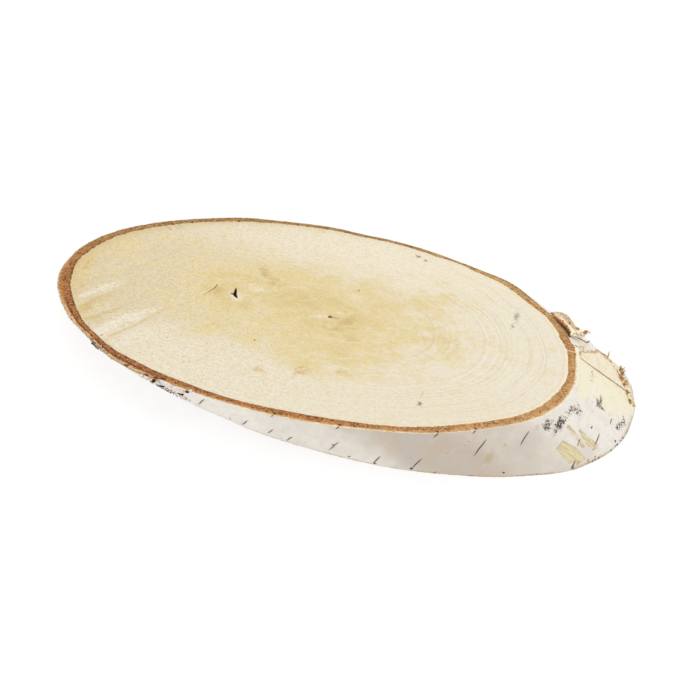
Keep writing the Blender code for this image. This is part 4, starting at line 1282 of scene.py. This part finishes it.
# torn bits on the right-hand edge: angle, height, length, width, tip height, turn, how much they curl
shreds = ((19.6, 4.1, 3.0, 1.5, 3.0, 182, 0.3), (20.2, 4.6, 1.5, 0.6, 1.1, 150, 0.4),
          (19.2, 4.2, 2.0, 0.9, 0.6, 20, 0.9), (17.4, 3.4, 2.6, 1.3, 1.2, -30, 1.4),
          (16.8, 3.0, 2.6, 1.4, 1.3, 20, 1.8), (16.2, 2.6, 2.6, 1.3, 1.2, 60, 1.6),
          (15.0, 2.7, 2.4, 1.5, 1.0, 0, 1.4), (13.4, 2.8, 2.4, 1.5, 0.8, -35, 0.8),
          (11.8, 2.6, 2.4, 1.6, 0.8, 15, 0.7), (10.0, 2.4, 2.4, 1.5, 0.7, 40, 0.5),
          (8.4, 3.0, 2.6, 1.4, 0.8, 20, 0.4), (7.2, 2.4, 2.4, 1.3, 0.7, -20, 0.4),
          (5.6, 1.9, 2.2, 1.3, 0.5, 10, 0.4), (3.4, 1.4, 2.0, 1.2, 0.5, -15, 0.3),
          (1.0, 1.0, 1.8, 1.1, 0.4, 20, 0.3), (11.5, 14.0, 2.6, 1.2, 0.7, 75, 0.8),
          (13.5, 12.8, 2.4, 1.1, 0.8, 60, 0.8), (9.2, 14.2, 2.2, 1.0, 0.5, 40, 0.5),
          (16.0, 2.8, 2.0, 1.0, 1.6, 20, 1.6), (15.4, 2.4, 2.0, 1.0, 1.3, 50, 1.4),
          (12.6, 3.0, 2.0, 1.1, 1.2, -20, 1.2))
# the loose sheet's edge, rolled up along the right-hand side: angles and heights it passes
edgeCurl = {
    "line": ((20.4, 7.0), (20.4, 5.8), (19.7, 4.7), (18.2, 4.0), (16.2, 3.4), (13.5, 3.1), (10.5, 2.9),
             (7.2, 2.0), (5.2, 1.8), (3.2, 1.6), (1.2, 1.3)),
    "radius": 0.66,
    "turns": (-40, 250),
    "thickness": 0.24,
    "grid": (110, 9),
    "shredGrid": (5, 12),
}


def shred(number, place):               # returns the function that bends one torn bit's grid
    angle, z, length, width, tip, turn, coil = place
    along = alongAt(angle, z)
    heading = math.radians(turn)
    tone = 1.6                          # the first two are the brownest
    if number > 1:
        tone = (0.5 + 0.5 * math.sin(number * 2.4)) * (0.25 if 9.5 < z < 14 else 1)

    def bend(across, up):
        run = np.sin(up * coil * 1.6) / (coil * 1.6) * length
        side = (across - 0.5) * width * (1 - 0.45 * up) * (1 + 0.3 * np.sin(up * 19 + number))
        shift = run * math.sin(heading) + side * math.cos(heading)
        forward = -run * math.cos(heading) + side * math.sin(heading)
        raised = tip * up ** 1.4 * (1 + 0.6 * coil * up) - 0.3 * (1 - up) ** 2
        points = onBark(angle + shift / degreeArc, along + forward, raised)
        values = {"edge": 0.9 * freeEdge(across, up, 0.25), "depth": 0.35 * tone * (1 - up),
                  "warm": 0.25 + 0.75 * tone * up}
        return shaken(points, 0.8, 0.14 * up, number * 1.7), values
    return bend


def curl(across, up):                   # across goes along the edge, up goes round it
    spot, ahead = curved(edgeCurl["line"], across), curved(edgeCurl["line"], across + 0.01)
    along = lengthAlong(spot[:, 0], spot[:, 1])
    stepA = (ahead[:, 0] - spot[:, 0]) * degreeArc
    stepB = lengthAlong(ahead[:, 0], ahead[:, 1]) - along
    size = np.hypot(stepA, stepB) + 1e-9
    low, high = edgeCurl["turns"]
    turn = np.radians(low + (high - low) * up)
    ends = np.stack([across * 26, 5 + 0 * up, 0 * up], axis=-1)
    closing = np.sin(math.pi * np.clip(across, 0.03, 0.97)) ** 0.3
    radius = edgeCurl["radius"] * (1 - 0.45 * across) * (1 + 0.7 * rough(ends, 2.2, 2)) * closing
    off = radius * np.cos(turn)
    raised = 0.15 + radius * (1 + np.sin(turn))
    points = onBark(spot[:, 0] - stepB / size * off / degreeArc, along + stepA / size * off, raised)
    points = shaken(points, 0.9, 0.2, 31.0)
    band = smoothStep(-0.3, 0.1, rough(points, 1.5, 2, 13.0))
    return points, {"edge": 1 - band, "depth": 0.45 * band, "warm": band}


def tornShreds(material):
    shape = bmesh.new()
    for number, place in enumerate(shreds):
        bentSheet(shape, edgeCurl["shredGrid"], shred(number, place))
    bentSheet(shape, edgeCurl["grid"], curl)
    piece = finishPiece("tornShreds", shape, corners(shape), {}, material)
    thicken(piece, edgeCurl["thickness"])


# chips of old bark: angles, heights, number, half sizes round the log, slimness, how far raised, tones
plates = {
    "seed": 11,
    "sides": 7,
    "depth": 1.1,                       # how far a chip is sunk in
    "groups": (((-119, -112), (8.0, 12.6), 110, (0.3, 0.75), 0.4, (0.1, 0.42), (0.0, 0.6)),
               ((-122, -115), (14.2, 14.8), 6, (0.4, 0.7), 0.4, (0.05, 0.2), (0.3, 0.7)),
               ((-133, -123), (13.4, 14.6), 16, (0.5, 1.2), 0.25, (0.0, 0.15), (0.0, 0.5))),
}
# flakes near the rim: angle, height, half length, half width, raised, tone; the slim dark-brown ones, half
# width 0.12 to 0.14, are painted shade: dark strips along the pale flakes' edges
flakes = ((-111.0, 14.6, 3.6, 0.75, 0.40, 0.78), (-109.6, 13.2, 3.0, 0.8, 0.40, 0.82),
          (-113.1, 13.5, 1.3, 0.13, 0.55, 0.97), (-111.6, 11.1, 1.7, 0.14, 0.42, 0.95),
          (-111.0, 11.3, 0.5, 0.35, 0.45, 0.93), (-106.8, 14.2, 0.85, 0.75, 0.70, 0.97),
          (-113.4, 14.9, 0.9, 0.45, 0.50, 0.95), (-114.8, 12.6, 1.5, 0.12, 0.35, 0.92),
          (-105.6, 14.7, 0.7, 0.25, 0.45, 0.82), (-116.6, 14.7, 0.7, 0.45, 0.40, 0.80),
          (-115.2, 14.9, 1.2, 0.35, 0.35, 0.62), (-114.4, 14.4, 0.7, 0.25, 0.40, 0.15),
          (-133.2, 14.7, 1.6, 0.45, 0.85, 0.05), (-131.4, 14.6, 1.6, 0.45, 0.80, 0.12),
          (-130.0, 14.4, 1.4, 0.35, 0.40, 0.25), (-128.4, 14.2, 1.8, 0.22, 0.20, 0.08),
          (-126.0, 14.3, 1.6, 0.2, 0.18, 0.05), (-124.0, 14.5, 1.2, 0.2, 0.15, 0.1),
          (-134.8, 14.6, 0.9, 0.3, 0.45, 0.02))


def barkChip(shape, centre, away, along, halfWidth, halfLength, raised, pick, value):
    # an uneven low block, sunk into what carries it
    layer = pointLayer(shape, "tone")
    sides = plates["sides"]
    made = bmesh.ops.create_cone(shape, cap_ends=True, segments=sides, radius1=1.0, radius2=0.8,
                                 depth=1.0)["verts"]
    sideways = np.cross(away, along)
    lengths = [pick.uniform(0.65, 1.15) for _ in range(sides)]
    for v in made:
        turned = math.atan2(v.co.y, v.co.x) % math.tau / math.tau
        reach = lengths[round(turned * sides) % sides]
        height = raised + pick.uniform(-0.12, 0.12) if v.co.z > 0 else raised - plates["depth"]
        spread = sideways * v.co.x * halfWidth + along * v.co.y * halfLength
        v.co = centre + spread * reach + away * height
        v[layer] = value


def roughPlates(material):
    pick = random.Random(plates["seed"])
    shape = bmesh.new()
    logWay = np.array([-sinSlant, 0, cosSlant])
    for angles, heights, count, sizes, slim, raised, tones in plates["groups"]:
        for _ in range(count):
            angle, z = pick.uniform(*angles), pick.uniform(*heights)
            centre = onBark(np.array([angle]), np.array([alongAt(angle, z)]), 0)[0]
            size = pick.uniform(*sizes)
            swell = float(oldBarkSwell(np.array(angle), z))
            slimmed = size * slim * pick.uniform(0.7, 1.3)
            height = pick.uniform(*raised) + swell
            tone = pick.uniform(*tones)
            barkChip(shape, centre, outward(np.array(angle)), logWay, size, slimmed, height, pick, tone)
    for angle, z, halfLength, halfWidth, raised, tone in flakes:
        spot = np.array([float(angle)])
        _, lift, down = (part[0] for part in rimFrame(spot))
        height = raised + float(oldBarkSwell(spot, z)[0])
        centre = onBark(spot, lengthAlong(spot, z), 0)[0]
        barkChip(shape, centre, lift, down, halfLength, halfWidth, height, pick, tone)
    bmesh.ops.recalc_face_normals(shape, faces=shape.faces)
    finishPiece("roughPlates", shape, corners(shape), {}, material)


def plateMaterial():
    material, shader, place, inLog = newMaterial("oldBark", 0.85, 0.2)
    tone = reading(place, "tone")
    fine = inLog.stretch(0.5, 0.5, 1).clouds(0.45, 4, 0.75)
    colour = tone.smooth(0.05, 0.3).mix(tint(98, 90, 76), tint(196, 182, 168))
    colour = (tone + (fine - 0.5) * 0.8).smooth(0.3, 0.65).mix(colour, tint(240, 229, 220))
    colour = (fine.smooth(0.57, 0.66) * 0.6).mix(colour, tint(128, 106, 92))
    # dark brown for the highest tones; on the slim flakes this is painted shade along the pale flakes' edges
    colour = tone.smooth(0.86, 0.9).mix(colour, tint(62, 38, 29))
    feed(shader, "Base Color", colour)
    relief(shader, fine, 0.25)
    return material


fibres = {
    "from": 92,
    "to": 226,
    "count": 520,
    "seed": 23,
    "length": (0.4, 1.1),
    "width": (0.10, 0.22),
}


def barkFibres(material):               # torn fibres that the saw left standing on the rim
    pick = random.Random(fibres["seed"])
    shape = bmesh.new()
    for _ in range(fibres["count"]):
        angle = pick.uniform(fibres["from"], fibres["to"])
        reach = pick.uniform(*fibres["length"]) * (0.6 + 0.4 * math.sin(angle * 1.7) ** 2)
        width = pick.uniform(*fibres["width"])
        rim, lift, down = (a[0] for a in rimFrame(np.array([float(angle)])))
        sideways = np.cross(lift, down)
        flat = np.array([lift[0], lift[1], 0.15]) / math.hypot(lift[0], lift[1])
        aim = flat + sideways * pick.uniform(-0.7, 0.7) + np.array([0, 0, pick.uniform(-0.3, 0.5)])
        aim = Vector(aim).normalized()
        made = bmesh.ops.create_cone(shape, cap_ends=True, segments=4, radius1=width, radius2=width * 0.15,
                                     depth=reach)["verts"]
        turned = aim.to_track_quat("Z", "Y").to_matrix().to_4x4()
        root = Vector(rim) - Vector(flat) * pick.uniform(0.1, 0.6) + Vector((0, 0, -pick.uniform(0.0, 0.5)))
        matrix = Matrix.Translation(root) @ turned @ Matrix.Translation((0, 0, reach / 2 - 0.15))
        bmesh.ops.transform(shape, matrix=matrix, verts=made)
    bmesh.ops.recalc_face_normals(shape, faces=shape.faces)
    finishPiece("barkFibres", shape, corners(shape), {}, material)


def fibreMaterial():
    material, shader, place, _ = newMaterial("tornFibre", 0.85, 0.2)
    tone = place.clouds(1.4, 3)
    colour = tone.smooth(0.35, 0.65).mix(tint(206, 160, 104), tint(240, 218, 178))
    feed(shader, "Base Color", colour)
    relief(shader, place.clouds(0.2, 2), 0.05)
    return material


sawnWood(woodMaterial())
innerBark(ringMaterial())
paperBark(skinMaterial())
rolledPaper(paperMaterial("rolledPaper", 0.6))
looseSheet(sheetMaterial())
tornShreds(paperMaterial("tornPaper", 0.65))
roughPlates(plateMaterial())
barkFibres(fibreMaterial())

print("birch slice: done")
